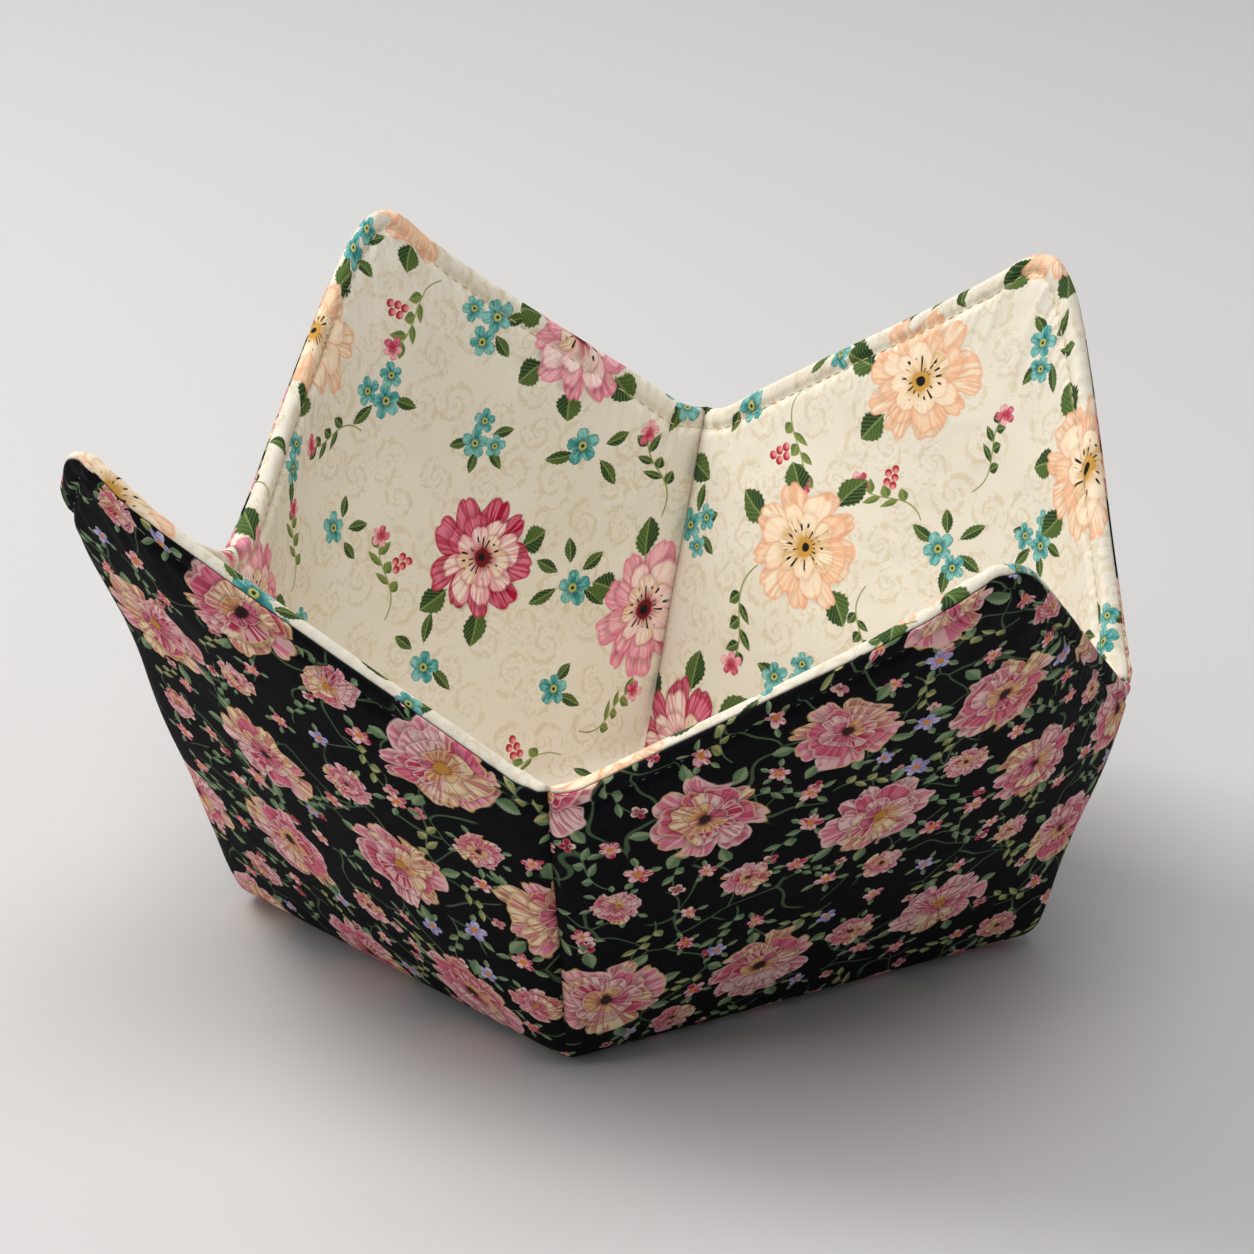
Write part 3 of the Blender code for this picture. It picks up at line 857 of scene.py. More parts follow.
def build_stitches(name, line, outs, material, stitch):
    """Every stitch is a short bowed thread whose ends go down into the cloth."""
    closed = np.concatenate((line, line[:1]))
    travelled = np.concatenate(([0.0], np.cumsum(np.linalg.norm(np.diff(closed, axis=0), axis=-1))))
    count = int(travelled[-1] / STITCH_PITCH)
    pitch = travelled[-1] / count
    chance = np.random.default_rng(STITCH_SEED)
    shares = np.linspace(0.0, 1.0, STITCH_POINTS)
    length = pitch * (stitch.share + chance.uniform(-0.03, 0.03, count))
    places = (np.arange(count)[:, None] + stitch.start) * pitch + length[:, None] * shares
    places = places % travelled[-1]
    outs = np.concatenate((outs, outs[:1]))
    centres = np.stack([np.interp(places, travelled, closed[:, axis]) for axis in range(3)], axis=-1)
    upright = unit(np.stack([np.interp(places, travelled, outs[:, axis]) for axis in range(3)], axis=-1))
    arch = np.sin(pi * shares) ** 0.6
    centres = centres + upright * ((arch - 1.0) * STITCH_SINK)[None, :, None]
    along = unit(np.gradient(centres, axis=1))
    across = unit(np.cross(along, upright))
    thin = np.where((shares == 0) | (shares == 1), 0.55, 1.0) * stitch.radius
    turns = np.linspace(0.0, 2 * pi, THREAD_SIDES, endpoint=False)
    ring = (across[:, :, None] * np.cos(turns)[:, None] + upright[:, :, None] * np.sin(turns)[:, None])
    spots = centres[:, :, None] + ring * thin[None, :, None, None]
    spots = spots.reshape(-1, 3)
    per = STITCH_POINTS * THREAD_SIDES
    faces = []
    for number in range(count):
        first = number * per
        for step in range(STITCH_POINTS - 1):
            for side in range(THREAD_SIDES):
                ahead = (side + 1) % THREAD_SIDES
                low, high = first + step * THREAD_SIDES, first + (step + 1) * THREAD_SIDES
                faces.append((low + side, high + side, high + ahead, low + ahead))
        faces.append(tuple(first + side for side in range(THREAD_SIDES)))
        end = first + (STITCH_POINTS - 1) * THREAD_SIDES
        faces.append(tuple(end + side for side in reversed(range(THREAD_SIDES))))
    data = bpy.data.meshes.new(name)
    data.from_pydata(spots.tolist(), [], faces)
    data.shade_smooth()
    data.materials.append(material)
    return placed(name, data)


class Ink:
    """Adds shader nodes to one material's tree. Every drawing method returns a socket."""

    def __init__(self, tree):
        self.tree = tree

    def join(self, socket, value):
        if isinstance(value, bpy.types.NodeSocket):
            self.tree.links.new(value, socket)
        elif isinstance(value, tuple) and len(value) == 3 and socket.type == "RGBA":
            socket.default_value = (*value, 1.0)
        else:
            socket.default_value = value

    def math(self, operation, *values, clamp=False):
        node = self.tree.nodes.new("ShaderNodeMath")
        node.operation = operation
        node.use_clamp = clamp
        for place, value in enumerate(values):
            self.join(node.inputs[place], value)
        return node.outputs[0]

    def add(self, first, second):
        return self.math("ADD", first, second)

    def less(self, first, second):
        return self.math("SUBTRACT", first, second)

    def times(self, first, second, clamp=False):
        return self.math("MULTIPLY", first, second, clamp=clamp)

    def above(self, value, limit):
        """1 where the value is above the limit, and 0 elsewhere."""
        return self.math("GREATER_THAN", value, limit)

    def fraction(self, value, stretch):
        """A second random number made from a first one."""
        return self.math("FRACT", self.times(value, stretch))

    def ease(self, value, low, high, start=0.0, end=1.0):
        """A soft step of the value from low to high, or the other way round."""
        node = self.tree.nodes.new("ShaderNodeMapRange")
        node.interpolation_type = "SMOOTHSTEP"
        for place, number in enumerate((value, low, high, start, end)):
            self.join(node.inputs[place], number)
        return node.outputs[0]

    def mix(self, share, low, high, blend="MIX"):
        node = self.tree.nodes.new("ShaderNodeMix")
        node.data_type = "RGBA"
        node.blend_type = blend
        self.join(node.inputs["Factor"], share)
        self.join(node.inputs["A"], low)
        self.join(node.inputs["B"], high)
        return node.outputs["Result"]

    def shade(self, share, colour, tint):
        """The colour, darkened by a tint over a share."""
        return self.mix(share, colour, self.mix(1.0, colour, tint, "MULTIPLY"))

    def vector(self, x, y, z=0.0):
        node = self.tree.nodes.new("ShaderNodeCombineXYZ")
        for place, value in enumerate((x, y, z)):
            self.join(node.inputs[place], value)
        return node.outputs[0]

    def parts(self, vector):
        node = self.tree.nodes.new("ShaderNodeSeparateXYZ")
        self.join(node.inputs[0], vector)
        return node.outputs

    def noise(self, vector, scale, detail=2.0, roughness=0.5, output="Fac"):
        node = self.tree.nodes.new("ShaderNodeTexNoise")
        self.join(node.inputs["Vector"], vector)
        self.join(node.inputs["Scale"], scale)
        self.join(node.inputs["Detail"], detail)
        self.join(node.inputs["Roughness"], roughness)
        return node.outputs[output]

    def stirred(self, vector, scale, amount):
        """The place, shifted by a soft noise of its own."""
        node = self.tree.nodes.new("ShaderNodeVectorMath")
        node.operation = "MULTIPLY_ADD"
        self.join(node.inputs[0], self.noise(vector, scale, 0.0, output="Color"))
        self.join(node.inputs[1], (amount, amount, amount))
        self.join(node.inputs[2], vector)
        return node.outputs[0]

    def cell_border(self, vector, size):
        """Distance to the border of a random cell, in cells."""
        node = self.tree.nodes.new("ShaderNodeTexVoronoi")
        node.voronoi_dimensions = "2D"
        node.feature = "DISTANCE_TO_EDGE"
        self.join(node.inputs["Vector"], vector)
        self.join(node.inputs["Scale"], 1 / size)
        return node.outputs["Distance"]

    def chance(self, number, seed):
        """A random number for a whole number and a seed."""
        node = self.tree.nodes.new("ShaderNodeTexWhiteNoise")
        node.noise_dimensions = "2D"
        self.join(node.inputs["Vector"], self.vector(number, seed))
        return node.outputs["Value"]

    def map(self, name):
        node = self.tree.nodes.new("ShaderNodeUVMap")
        node.uv_map = name
        return node.outputs[0]

    def field(self, name):
        node = self.tree.nodes.new("ShaderNodeAttribute")
        node.attribute_name = name
        return node.outputs["Vector"]


class Motif:
    """A place on a motif: distance from its middle, turn around it, and the motif's random number."""

    def __init__(self, ink, x, y, seed, ruffle=0.0, sway=0.0):
        self.ink, self.x, self.y, self.seed = ink, x, y, seed
        square = ink.add(ink.times(x, x), ink.times(y, y))
        self.plain_radius = ink.math("SQRT", square)
        self.turn = ink.add(ink.times(ink.math("ARCTAN2", y, x), 0.5 / pi), 0.5)
        self.seat = ink.vector(x, y, ink.times(seed, 50.0))
        self.radius, self.sway = self.plain_radius, 0.0
        if ruffle:
            uneven = ink.less(ink.noise(self.seat, 3.4, 1.0, 0.5), 0.5)
            self.radius = ink.add(self.plain_radius, ink.times(uneven, ruffle))
        if sway:
            self.sway = ink.times(ink.less(ink.noise(self.seat, 1.3, 0.0), 0.5), sway)

    def part(self, x, y, size, number):
        """A smaller motif inside this one."""
        ink = self.ink
        seed = ink.math("FRACT", ink.add(self.seed, 0.37 * number))
        x, y = (ink.times(ink.less(place, middle), 1 / size) for place, middle in ((self.x, x), (self.y, y)))
        return Motif(ink, x, y, seed)

    def nearest_part(self, places, luck):
        """Of several parts, each with x, y, size and the share of motifs that have it, the nearest one."""
        ink = self.ink
        nearest_one = self.part(*places[0][:3], 0)
        for number, (x, y, size, share) in enumerate(places[1:], 1):
            other = self.part(x, y, size, number)
            closer = ink.math("LESS_THAN", other.plain_radius, nearest_one.plain_radius)
            if share < 1.0:
                closer = ink.times(closer, ink.math("LESS_THAN", luck, share))
            spots = [ink.vector(motif.x, motif.y, motif.seed) for motif in (nearest_one, other)]
            nearest_one = Motif(ink, *ink.parts(ink.mix(closer, *spots)))
        return nearest_one

    def streaks(self, fineness):
        """Fine brush lines that run out from the middle."""
        ink = self.ink
        around, out = ink.times(self.turn, fineness), ink.times(self.radius, 1.4)
        return ink.noise(ink.vector(around, out, ink.times(self.seed, 31.0)), 1.0, 2.0, 0.65)

    def ring(self, count, shift, sway=0.0):
        """Petal number, and how far across it a point lies: 0 in the middle, -1 and 1 at the borders."""
        ink = self.ink
        phase = ink.add(ink.add(ink.times(self.turn, float(count)), shift), sway)
        phase = ink.math("FLOORED_MODULO", phase, float(count))
        number = ink.math("FLOOR", phase)
        return number, ink.times(ink.less(ink.less(phase, number), 0.5), 2.0)

    def petals(self, kind):
        """A ring of petals: its mask, the place across and along each, and a random number for each."""
        ink = self.ink
        number, side = self.ring(kind.count, kind.turn, self.sway)
        across = ink.math("ABSOLUTE", side)
        luck = ink.chance(number, ink.add(self.seed, kind.turn))
        arch = ink.less(1.0, ink.times(ink.math("POWER", across, kind.power), kind.dip))
        notch = ink.times(ink.ease(across, 0.22, 0.0), 0.04)
        longer = ink.less(1.0, ink.times(ink.fraction(luck, 5.7), kind.vary))
        reach = ink.times(ink.times(ink.less(arch, notch), kind.reach), longer)
        along = ink.math("DIVIDE", self.radius, reach)
        return ink.ease(along, 1.0, 1.0 - kind.soft), across, along, luck

    def leaves(self, kind):
        """Pointed leaves around the middle: their mask, place off the midrib and along, and which half."""
        ink = self.ink
        number, side = self.ring(kind.count, kind.turn)
        luck = ink.chance(number, ink.add(self.seed, kind.turn + 3.7))
        longest = kind.end - kind.start
        length = ink.less(longest, ink.times(luck, longest * 0.30))
        along = ink.math("DIVIDE", ink.less(self.plain_radius, kind.start), length, clamp=True)
        off = ink.times(ink.times(side, self.plain_radius), pi / kind.count)
        bow = ink.times(ink.less(luck, 0.5), ink.times(ink.times(along, along), 1.2 * kind.width))
        off = ink.less(off, bow)
        belly = ink.times(ink.math("SINE", ink.times(ink.math("POWER", along, 1.15), pi)), kind.width)
        height = ink.ease(along, 0.98, 0.80, 0.0, 0.05 * kind.width)
        tooth = ink.times(ink.math("SINE", ink.times(along, 52.0)), height)
        inside = ink.ease(along, 1.0, 0.97)
        apart = ink.math("ABSOLUTE", off)
        mask = ink.ease(ink.less(ink.add(belly, tooth), apart), 0.0, LEAF_SOFTNESS)
        there = ink.math("LESS_THAN", ink.fraction(luck, 7.31), kind.share)
        return ink.times(ink.times(mask, inside), there), apart, along, ink.above(off, 0.0)

    def bowed(self, bow):
        """Distance from a bowed line through the middle, with its sign."""
        ink = self.ink
        return ink.less(self.y, ink.times(ink.math("SINE", ink.times(self.x, 2.4)), bow))

    def stem(self, kind):
        """A thin bowed line."""
        ink = self.ink
        off = ink.math("ABSOLUTE", self.bowed(kind.bow))
        grown = ink.ease(self.x, kind.start, kind.start + 0.05)
        inside = ink.times(grown, ink.ease(self.x, kind.end, kind.end - 0.25))
        return ink.times(ink.ease(off, kind.width, kind.width * 0.4), inside)

    def leaflets(self, kind):
        """Leaflets on both sides of a bowed stem, as leaves() gives them."""
        ink = self.ink
        off = self.bowed(kind.bow)
        half = ink.above(off, 0.0)
        off = ink.math("ABSOLUTE", off)
        foot = ink.less(self.x, ink.times(off, cos(kind.lean) / sin(kind.lean)))
        foot = ink.less(foot, ink.times(half, kind.pitch * 0.4))
        number = ink.math("ROUND", ink.times(foot, 1 / kind.pitch))
        aside = ink.less(foot, ink.times(number, kind.pitch))
        apart = ink.math("ABSOLUTE", ink.times(aside, sin(kind.lean)))
        luck = ink.chance(number, ink.add(self.seed, half))
        size = ink.less(kind.length, ink.times(luck, kind.length * 0.35))
        way = ink.add(ink.times(off, 1 / sin(kind.lean)), ink.times(aside, cos(kind.lean)))
        along = ink.math("DIVIDE", way, size, clamp=True)
        belly = ink.times(ink.math("SINE", ink.times(ink.math("POWER", along, 0.8), pi)), kind.width)
        seat = ink.times(number, kind.pitch)
        there = ink.times(ink.above(seat, kind.start), ink.math("LESS_THAN", seat, kind.end))
        mask = ink.times(ink.ease(ink.less(belly, apart), 0.0, LEAF_SOFTNESS), there)
        return mask, apart, along, ink.above(aside, 0.0)


def lay_petals(ink, under, ring, streak, bodies, brushes, edge, foot, shade=0.6, cast=True):
    """Paints a ring of petals over a colour. A petal has one of two body colours, with brush lines over it.

    A ring that casts a shade darkens what it lies on, as petals do over petals.
    """
    mask, across, along, luck = ring
    other = ink.above(luck, 0.5)
    body = ink.mix(other, *bodies)
    brush = ink.mix(other, *brushes)
    outward = ink.times(ink.less(along, 0.55), 0.14)
    strokes = ink.ease(ink.add(streak, outward), 0.49, 0.60)
    colour = ink.mix(ink.times(strokes, 0.7), body, brush)
    pooled = ink.times(ink.ease(across, 0.45, 1.0), 0.45)
    colour = ink.mix(pooled, colour, brush)
    root = ink.ease(ink.add(along, ink.times(streak, 0.6)), 0.96, 0.56)
    colour = ink.mix(ink.times(root, 0.85), colour, foot)
    border = ink.math("MAXIMUM", ink.ease(along, 0.90, 0.97), ink.ease(across, 0.88, 0.98))
    colour = ink.mix(ink.times(border, 0.8), colour, edge)
    if cast:
        under = ink.shade(ink.times(ink.ease(along, 1.16, 0.99), shade), under, (0.42, 0.34, 0.34))
    return ink.mix(mask, under, colour)


def lay_rings(ink, under, motif, streak, kinds, looks, shade=0.6):
    """Paints a flower's rings of petals, the outermost first, which casts no shade on the ground."""
    for kind, look in zip(kinds, looks):
        under = lay_petals(ink, under, motif.petals(kind), streak, *look, shade, kind is not kinds[0])
    return under


def lay_leaves(ink, under, leaves, colours, veins):
    """Paints leaves with a midrib, side veins and one half lighter."""
    mask, apart, along, half = leaves
    dark, light, vein = colours
    colour = ink.mix(ink.add(ink.times(half, 0.55), ink.times(along, 0.30)), dark, light)
    phase = ink.less(ink.times(along, veins), ink.times(apart, 2.2 * veins))
    side = ink.math("SINE", ink.times(phase, 2 * pi))
    colour = ink.mix(ink.times(ink.ease(side, 0.55, 0.95), 0.35), colour, vein)
    colour = ink.mix(ink.times(ink.ease(apart, 0.022, 0.006), 0.7), colour, vein)
    return ink.mix(mask, under, colour)


def lay_berry(ink, under, ball, dark, light):
    """Paints a round berry with a highlight."""
    colour = ink.mix(ink.ease(ball.part(-0.35, 0.35, 1.0, 0).plain_radius, 0.1, 1.1), light, dark)
    return ink.mix(ink.ease(ball.plain_radius, 1.0, 0.86), under, colour)


def nearest(ink, field, ruffle=0.0, sway=0.0):
    """The motif of one layer that a point lies on.

    Its random number is rounded, because the renderer blends it from the corners of a face, and random
    choices made from it would differ from point to point.
    """
    x, y, seed = ink.parts(ink.field(field))
    seed = ink.math("SNAP", ink.add(seed, SEED_STEP / 2), SEED_STEP)
    return Motif(ink, x, y, seed, ruffle, sway)


def vines(ink, place, size, width):
    """Thin curling lines that wander between the motifs and break off."""
    line = ink.ease(ink.cell_border(ink.stirred(place, 1.1 / size, 0.9 * size), size), width, width * 0.4)
    return ink.times(line, ink.ease(ink.noise(place, 0.8 / size, 0.0), 0.44, 0.50))


def cover_print(ink):
    """Dark ground with layered pink blooms, large and small, with sprigs, leaf sprays and vines."""
    greens = (SAGE_DARK, SAGE_PALE, SAGE)
    fabric = ink.map("fabric")
    colour = ink.mix(ink.noise(fabric, 500.0, 1.0, 0.65), GROUND_BLACK, GROUND_SOFT_BLACK)
    colour = ink.mix(ink.times(vines(ink, fabric, VINE_SIZE, VINE_WIDTH), 0.8), colour, SAGE_DEEP)

    spray = nearest(ink, "cover_sprays")
    luck = ink.fraction(spray.seed, 11.3)
    colour = ink.mix(spray.stem(COVER_STEM), colour, SAGE_DEEP)
    olive = ink.times(ink.above(luck, 0.55), 0.6)
    leaf_colours = (ink.mix(olive, SAGE_DARK, OLIVE), ink.mix(olive, SAGE_PALE, BUTTER), SAGE)
    colour = lay_leaves(ink, colour, spray.leaflets(COVER_SPRAY), leaf_colours, COVER_SPRAY.veins)
    bud = spray.part(0.84, 0.22, 0.27, 1)
    colour = lay_petals(ink, colour, bud.petals(COVER_BUD), luck, (ROSE, PALE_PINK), (PALE_PINK, ROSE),
                        CREAM_YELLOW, DEEP_ROSE, cast=False)

    sprig = nearest(ink, "cover_sprigs")
    luck = ink.fraction(sprig.seed, 13.7)
    colour = lay_leaves(ink, colour, sprig.leaves(SPRIG_LEAVES), greens, SPRIG_LEAVES.veins)
    lilac = ink.math("LESS_THAN", luck, 0.32)
    body = ink.mix(lilac, ink.mix(ink.above(luck, 0.62), ROSE, PALE_PINK), LILAC)
    brush = ink.mix(lilac, ink.mix(ink.above(luck, 0.62), PALE_PINK, ROSE), LILAC_PALE)
    colour = lay_petals(ink, colour, sprig.petals(SPRIG_PETALS), sprig.streaks(15.0), (body, brush),
                        (brush, body), brush, body, cast=False)
    colour = ink.mix(ink.ease(sprig.plain_radius, 0.27, 0.17), colour, ORANGE)

    bloom = nearest(ink, "cover_blooms", 0.24, 1.8)
    leaves = bloom.leaves(COVER_BLOOM_LEAVES)
    colour = lay_leaves(ink, colour, leaves, greens, COVER_BLOOM_LEAVES.veins)
    warm = ink.ease(ink.noise(bloom.seat, 0.9, 0.0), 0.44, 0.58)
    pale = ink.mix(warm, PALE_PINK, CREAM_YELLOW)
    edge = ink.mix(warm, PALE_PINK, BUTTER)
    colour = lay_rings(ink, colour, bloom, bloom.streaks(54.0), COVER_BLOOM_RINGS, (
        ((pale, PINK), (ROSE, PALE_PINK), edge, DEEP_ROSE),
        ((PINK, pale), (ROSE, ROSE), edge, DEEP_ROSE),
        ((pale, ROSE), (ROSE, PALE_PINK), edge, DEEP_ROSE),
        ((BUTTER, PINK), (ROSE, DEEP_ROSE), pale, DEEP_ROSE)))
    heart = ink.mix(ink.above(ink.fraction(bloom.seed, 7.7), 0.6), BLOOM_HEART, OCHRE)
    return ink.mix(ink.ease(bloom.radius, 0.12, 0.07), colour, heart)


def scrolls(ink, field):
    """Faint curling scrolls, tone on tone."""
    curl = nearest(ink, field, 0.20)
    radius = ink.add(ink.math("MAXIMUM", curl.radius, 0.0), 0.12)
    wound = ink.times(ink.math("LOGARITHM", radius, 2.718), 0.55)
    phase = ink.math("FRACT", ink.times(ink.add(curl.turn, wound), 2.0))
    arm = ink.math("ABSOLUTE", ink.less(phase, 0.5))
    width = ink.add(0.045, ink.times(ink.ease(ink.noise(curl.seat, 3.0, 0.0), 0.38, 0.62), 0.18))
    line = ink.ease(ink.less(width, arm), -0.03, 0.05)
    leafy = ink.ease(ink.noise(curl.seat, 4.4, 1.0), 0.58, 0.63)
    mark = ink.math("MAXIMUM", line, ink.times(leafy, 0.7))
    return ink.times(mark, ink.ease(curl.plain_radius, 1.25, 1.0))


def lining_print(ink):
    """Cream ground with tone-on-tone scrolls, wide painted flowers, teal blossoms, sprays and berries."""
    fabric = ink.map("fabric")
    colour = ink.mix(ink.noise(fabric, 90.0, 1.0), CREAM, CREAM_SHADE)
    colour = ink.mix(ink.times(scrolls(ink, "lining_scrolls"), 0.50), colour, SCROLL_TAN)

    spray = nearest(ink, "lining_sprays")
    luck = ink.fraction(spray.seed, 9.3)
    colour = ink.mix(ink.times(spray.stem(LINING_STEM), 0.9), colour, OLIVE)
    green = ink.above(luck, 0.5)
    leaf_colours = (ink.mix(green, LEAF, LEAF_DARK), ink.mix(green, OLIVE, LEAF), LEAF_VEIN)
    colour = lay_leaves(ink, colour, spray.leaflets(LINING_SPRAY), leaf_colours, LINING_SPRAY.veins)
    bud = spray.part(0.86, 0.24, 0.30, 1)
    colour = lay_petals(ink, colour, bud.petals(LINING_BUD), bud.streaks(18.0), (PINK, PALE_BLUSH),
                        (CRIMSON, PINK), CRIMSON, BERRY, cast=False)
    berry = lay_berry(ink, colour, spray.nearest_part(BERRIES, luck), BERRY, BERRY_LIGHT)
    colour = ink.mix(ink.math("LESS_THAN", luck, 0.42), colour, berry)

    greens = (LEAF_DARK, LEAF, LEAF_VEIN)
    teal = nearest(ink, "lining_blossoms")
    colour = lay_leaves(ink, colour, teal.leaves(TEAL_LEAVES), greens, TEAL_LEAVES.veins)
    head = teal.nearest_part(TEAL_HEADS, ink.fraction(teal.seed, 6.1))
    colour = lay_petals(ink, colour, head.petals(TEAL_PETALS), head.streaks(22.0), (TEAL_PALE, TEAL),
                        (TEAL, TEAL_PALE), TEAL_DARK, TEAL_DARK, cast=False)
    colour = ink.mix(ink.ease(head.plain_radius, 0.26, 0.16), colour, LIME)
    colour = ink.mix(ink.ease(head.plain_radius, 0.12, 0.07), colour, LEAF_DARK)

    bloom = nearest(ink, "lining_blooms", 0.16, 1.2)
    leaves = bloom.leaves(LINING_BLOOM_LEAVES)
    colour = lay_leaves(ink, colour, leaves, greens, LINING_BLOOM_LEAVES.veins)
    peach = ink.above(bloom.seed, 0.58)
    crimson = ink.math("LESS_THAN", bloom.seed, 0.32)
    white = ink.mix(peach, PETAL_WHITE, PEACH_WHITE)
    rich = ink.mix(peach, ink.mix(crimson, PINK, CRIMSON), PEACH)
    soft = ink.mix(peach, ink.mix(crimson, PALE_BLUSH, PINK), PEACH_PALE)
    foot = ink.mix(peach, GOLD, HONEY)
    deep = ink.mix(peach, CRIMSON, HONEY)
    outer = (ink.mix(peach, soft, PEACH_WHITE), ink.mix(peach, rich, PEACH_PALE))
    shade = ink.less(0.5, ink.times(peach, 0.28))
    colour = lay_rings(ink, colour, bloom, bloom.streaks(96.0), LINING_BLOOM_RINGS, (
        (outer, (rich, ink.mix(peach, soft, PEACH)), rich, deep),
        ((white, soft), (soft, rich), rich, foot),
        ((white, white), (foot, soft), soft, deep)), shade)
    colour = ink.mix(ink.ease(bloom.radius, 0.17, 0.12), colour, ink.mix(peach, MAROON, HONEY))
    return ink.mix(stamens(ink, bloom), colour, STAMEN)


def stamens(ink, bloom):
    """Broken dark spokes around a dark eye."""
    _, spoke = bloom.ring(17, 0.3)
    spoke = ink.ease(ink.math("ABSOLUTE", spoke), 0.45, 0.20)
    broken = ink.ease(ink.noise(bloom.seat, 9.0, 0.0), 0.52, 0.56)
    reach = ink.times(ink.ease(bloom.radius, 0.12, 0.15), ink.ease(bloom.radius, 0.36, 0.30))
    eye = ink.ease(bloom.radius, 0.075, 0.055)
    return ink.math("MAXIMUM", ink.times(ink.times(broken, spoke), reach), eye)


def dart_seam(ink, x, y):
    """1 on the sewn line of a dart, where the cloth dips into the seam, and 0 away from it."""
    x, y = ink.math("ABSOLUTE", x), ink.math("ABSOLUTE", y)
    outward, aside = ink.math("MAXIMUM", x, y), ink.math("MINIMUM", x, y)
    run = HALF_SIDE - DART_POINT
    length = sqrt(run * run + DART_HALF_WIDTH * DART_HALF_WIDTH)
    past = ink.less(outward, DART_POINT)
    off = ink.less(ink.times(aside, run / length), ink.times(past, DART_HALF_WIDTH / length))
    near = ink.math("EXPONENT", ink.times(ink.math("ABSOLUTE", off), -1 / SEAM_LINE_WIDTH))
    return ink.times(near, ink.ease(past, 0.0, DART_FADE))


def cloth_relief(ink):
    """Height of the crinkles, puckers and dart seams; the weave; and where the dart seams run, for the
    painted shade in their creases.
    """
    fabric = ink.map("fabric")
    x, y, _ = ink.parts(fabric)
    warp = ink.math("SINE", ink.times(x, 2 * pi / THREAD_PITCH))
    weft = ink.math("SINE", ink.times(y, 2 * pi / THREAD_PITCH))
    crinkle = ink.times(ink.noise(fabric, 1 / CRINKLE_SIZE, 1.0, 0.55), CRINKLE_RELIEF)
    along, out, _ = ink.parts(ink.map("rim"))
    off = ink.math("ABSOLUTE", ink.less(out, STITCH_INSET))
    place = ink.vector(ink.times(along, 1 / PUCKER_PITCH), ink.times(out, 1 / PUCKER_LENGTH))
    pulled = ink.noise(place, 1.0, 0.0)
    near = ink.math("EXPONENT", ink.times(off, -1 / PUCKER_REACH))
    pucker = ink.times(ink.times(ink.less(pulled, 0.5), near), PUCKER_RELIEF)
    height = ink.add(crinkle, pucker)
    seam = dart_seam(ink, x, y)
    height = ink.less(height, ink.times(seam, SEAM_LINE_RELIEF))
    return height, ink.times(ink.times(warp, weft), 0.5), seam


def fresh_material(name, roughness):
    """A new material, its drawing tools, and its shader."""
    material = bpy.data.materials.new(name)
    material.use_nodes = True
    shader = material.node_tree.nodes["Principled BSDF"]
    shader.inputs["Roughness"].default_value = roughness
    return material, Ink(material.node_tree), shader


def raise_relief(ink, height, shader):
    """Shades the surface as if it stood out by a height in metres."""
    relief = ink.tree.nodes.new("ShaderNodeBump")
    relief.inputs["Distance"].default_value = 1.0
    ink.join(relief.inputs["Height"], height)
    ink.join(shader.inputs["Normal"], relief.outputs[0])


def printed_cotton(name, draw, roughness):
    material, ink, shader = fresh_material(name, roughness)
    shader.inputs["Specular IOR Level"].default_value = COTTON_SPECULAR
    height, weave, seam = cloth_relief(ink)
    # Painted shade: the colour darkens in the crease along the dart seams.
    colour = ink.shade(ink.times(seam, SEAM_CREASE_PAINTED_SHADE_SHARE), draw(ink), SEAM_CREASE_PAINTED_SHADE)
    threads = ink.ease(weave, -0.5, 0.5, *WEAVE_SHADES)
    grey = ink.vector(threads, threads, threads)
    ink.join(shader.inputs["Base Color"], ink.mix(1.0, colour, grey, "MULTIPLY"))
    raise_relief(ink, height, shader)
    return material


def scattered(layers):
    """The motifs of each layer, strewn over the cloth: their middles, turns, sizes and random numbers."""
    strewn = {}
    for layer in layers:
        chance = np.random.default_rng(layer.seed)
        centres = np.zeros((0, 2))
        others = [(strewn[name][0], distance) for name, distance in layer.clear_of.items()]
        for spot in chance.uniform(-HALF_SIDE, HALF_SIDE, (SCATTER_TRIES, 2)) * 1.05:
            near = [(centres, layer.spacing)] + others
            if all(((places - spot) ** 2).sum(-1).min(initial=1.0) > gap ** 2 for places, gap in near):
                centres = np.concatenate((centres, spot[None]))
        count = len(centres)
        turns = chance.uniform(0, 2 * pi, count)
        sizes = layer.size * (1 + chance.uniform(-layer.spread, layer.spread, count))
        seeds = np.round(chance.uniform(0.02, 0.98, count) / SEED_STEP) * SEED_STEP
        strewn[layer.name] = (centres, turns, sizes, seeds)
    return strewn


def cover_layouts():
    """The cover's layers. Its small blossoms are drawn as small blooms."""
    strewn = scattered(COVER_LAYERS)
    small = strewn.pop("cover_blossoms")
    strewn["cover_blooms"] = tuple(np.concatenate(pair) for pair in zip(strewn["cover_blooms"], small))
    return strewn


def fibrous(name, pale, deep, roughness, grain, relief_height):
    """Batting, thread and other unprinted stuff: a mottled colour and a fibrous relief."""
    material, ink, shader = fresh_material(name, roughness)
    shader.inputs["Sheen Weight"].default_value = 0.2
    place = ink.tree.nodes.new("ShaderNodeTexCoord").outputs["Object"]
    fibres = ink.noise(place, 1 / grain, 3.0, 0.6)
    ink.join(shader.inputs["Base Color"], ink.mix(ink.ease(fibres, 0.35, 0.65), deep, pale))
    raise_relief(ink, ink.times(fibres, relief_height), shader)
    return material


def plain_cloth(name, colour, roughness):
    material, _, shader = fresh_material(name, roughness)
    shader.inputs["Base Color"].default_value = (*colour, 1.0)
    return material


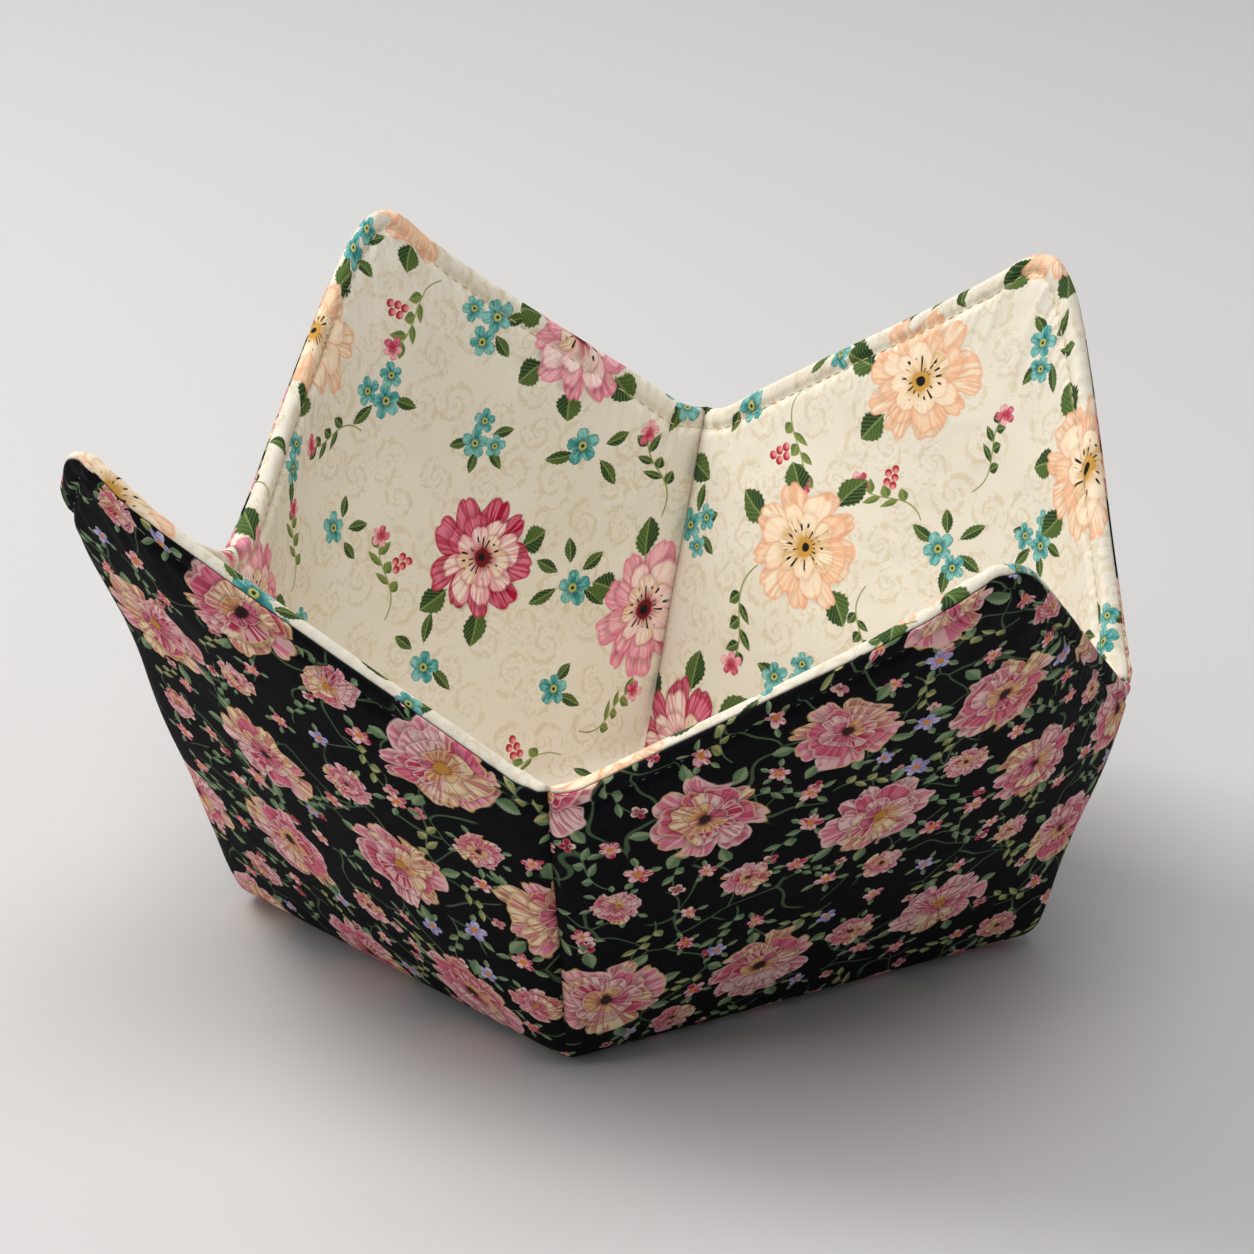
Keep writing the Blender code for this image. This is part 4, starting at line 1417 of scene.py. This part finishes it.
def add_camera():
    azimuth, elevation = radians(AZIMUTH), radians(ELEVATION)
    back = Vector((sin(azimuth) * cos(elevation), -cos(azimuth) * cos(elevation), sin(elevation)))
    camera = placed("camera", bpy.data.cameras.new("camera"))
    camera.data.sensor_width = SENSOR
    camera.data.lens = LENS_SHARE * SENSOR
    right = (-back).cross(Vector((0.0, 0.0, 1.0))).normalized()
    up = right.cross(-back)
    turn = radians(ROLL)
    turned_right = right * cos(turn) + up * sin(turn)
    turned_up = up * cos(turn) - right * sin(turn)
    place = Matrix((turned_right, turned_up, back)).transposed().to_4x4()
    place.translation = Vector(LOOK_AT) + back * CAMERA_DISTANCE
    camera.matrix_world = place
    bpy.context.scene.camera = camera


def add_lamp(name, place, size, power, colour):
    lamp = placed(name, bpy.data.lights.new(name, "AREA"))
    lamp.data.shape = "SQUARE"
    lamp.data.size = size
    lamp.data.energy = power
    lamp.data.color = colour
    lamp.location = place
    lamp.rotation_euler = (Vector(BOWL_MIDDLE) - Vector(place)).to_track_quat("-Z", "Y").to_euler()


def add_studio():
    for name, place, size, power, colour in LAMPS:
        add_lamp(name, place, size, power, colour)
    world = bpy.data.worlds.new("studio")
    bpy.context.scene.world = world
    world.use_nodes = True
    tree = world.node_tree
    surroundings = tree.nodes["Background"]
    surroundings.inputs["Color"].default_value = (*SURROUND_COLOUR, 1.0)
    surroundings.inputs["Strength"].default_value = SURROUND_STRENGTH
    seen = tree.nodes.new("ShaderNodeBackground")
    seen.inputs["Color"].default_value = (*BACKDROP_COLOUR, 1.0)
    seen.inputs["Strength"].default_value = 1.0
    path = tree.nodes.new("ShaderNodeLightPath")
    choice = tree.nodes.new("ShaderNodeMixShader")
    tree.links.new(path.outputs["Is Camera Ray"], choice.inputs["Fac"])
    tree.links.new(surroundings.outputs[0], choice.inputs[1])
    tree.links.new(seen.outputs[0], choice.inputs[2])
    tree.links.new(choice.outputs[0], tree.nodes["World Output"].inputs["Surface"])
    mesh = bpy.data.meshes.new("floor")
    half = FLOOR_SIZE / 2
    corners = [(-half, -half, 0), (half, -half, 0), (half, half, 0), (-half, half, 0)]
    mesh.from_pydata(corners, [], [(0, 1, 2, 3)])
    floor = placed("floor", mesh)
    floor.location.z = -FLOOR_GAP
    floor.data.materials.append(plain_cloth("floor_paper", FLOOR_COLOUR, 0.6))


def dress():
    cloth = Cloth(Skin())
    cover_cotton = printed_cotton("cover_cotton", cover_print, 0.9)
    lining_cotton = printed_cotton("lining_cotton", lining_print, 0.85)
    wool = fibrous("batting_wool", (0.86, 0.84, 0.78), (0.74, 0.71, 0.64), 0.95, 0.0012, 0.0004)
    dark_thread = fibrous("dark_thread", (0.22, 0.20, 0.16), (0.11, 0.10, 0.08), 0.7, 0.00018, 0.00005)
    pale_thread = fibrous("pale_thread", (0.70, 0.60, 0.43), (0.52, 0.42, 0.27), 0.7, 0.00018, 0.00005)
    cover = build_printed(cloth, "printed_cover", True, cover_cotton, cover_layouts())
    lining = build_printed(cloth, "printed_lining", False, lining_cotton, scattered(LINING_LAYERS))
    outer_wool = build_batting(cloth, "outer_batting_sheet", (0.0, 0.48), wool)
    inner_wool = build_batting(cloth, "lining_batting_sheet", (0.52, 1.0), wool)
    sides = {}
    for name, walls, side, thread, stitch in (
            ("topstitching_outside", cloth.outer_face(0.0)[0], -1, dark_thread, OUTSIDE_STITCH),
            ("topstitching_inside", cloth.inner_face(0.0)[0], 1, pale_thread, INSIDE_STITCH)):
        line, outs = thread_line(walls, cloth.skin.wall_steps * side, stitch)
        sides[name] = build_stitches(name, line, outs, thread, stitch)
        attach(sides[name], "root")
    for piece, node, slot in ((cover, "outer_cover", "cover_cotton"), (lining, "lining", "lining_cotton"),
                              (outer_wool, "outer_batting", "batting"),
                              (inner_wool, "lining_batting", "batting")):
        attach(piece, "root")
        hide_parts(node)


dress()
add_studio()
add_camera()
bpy.context.scene.view_settings.view_transform = "Standard"
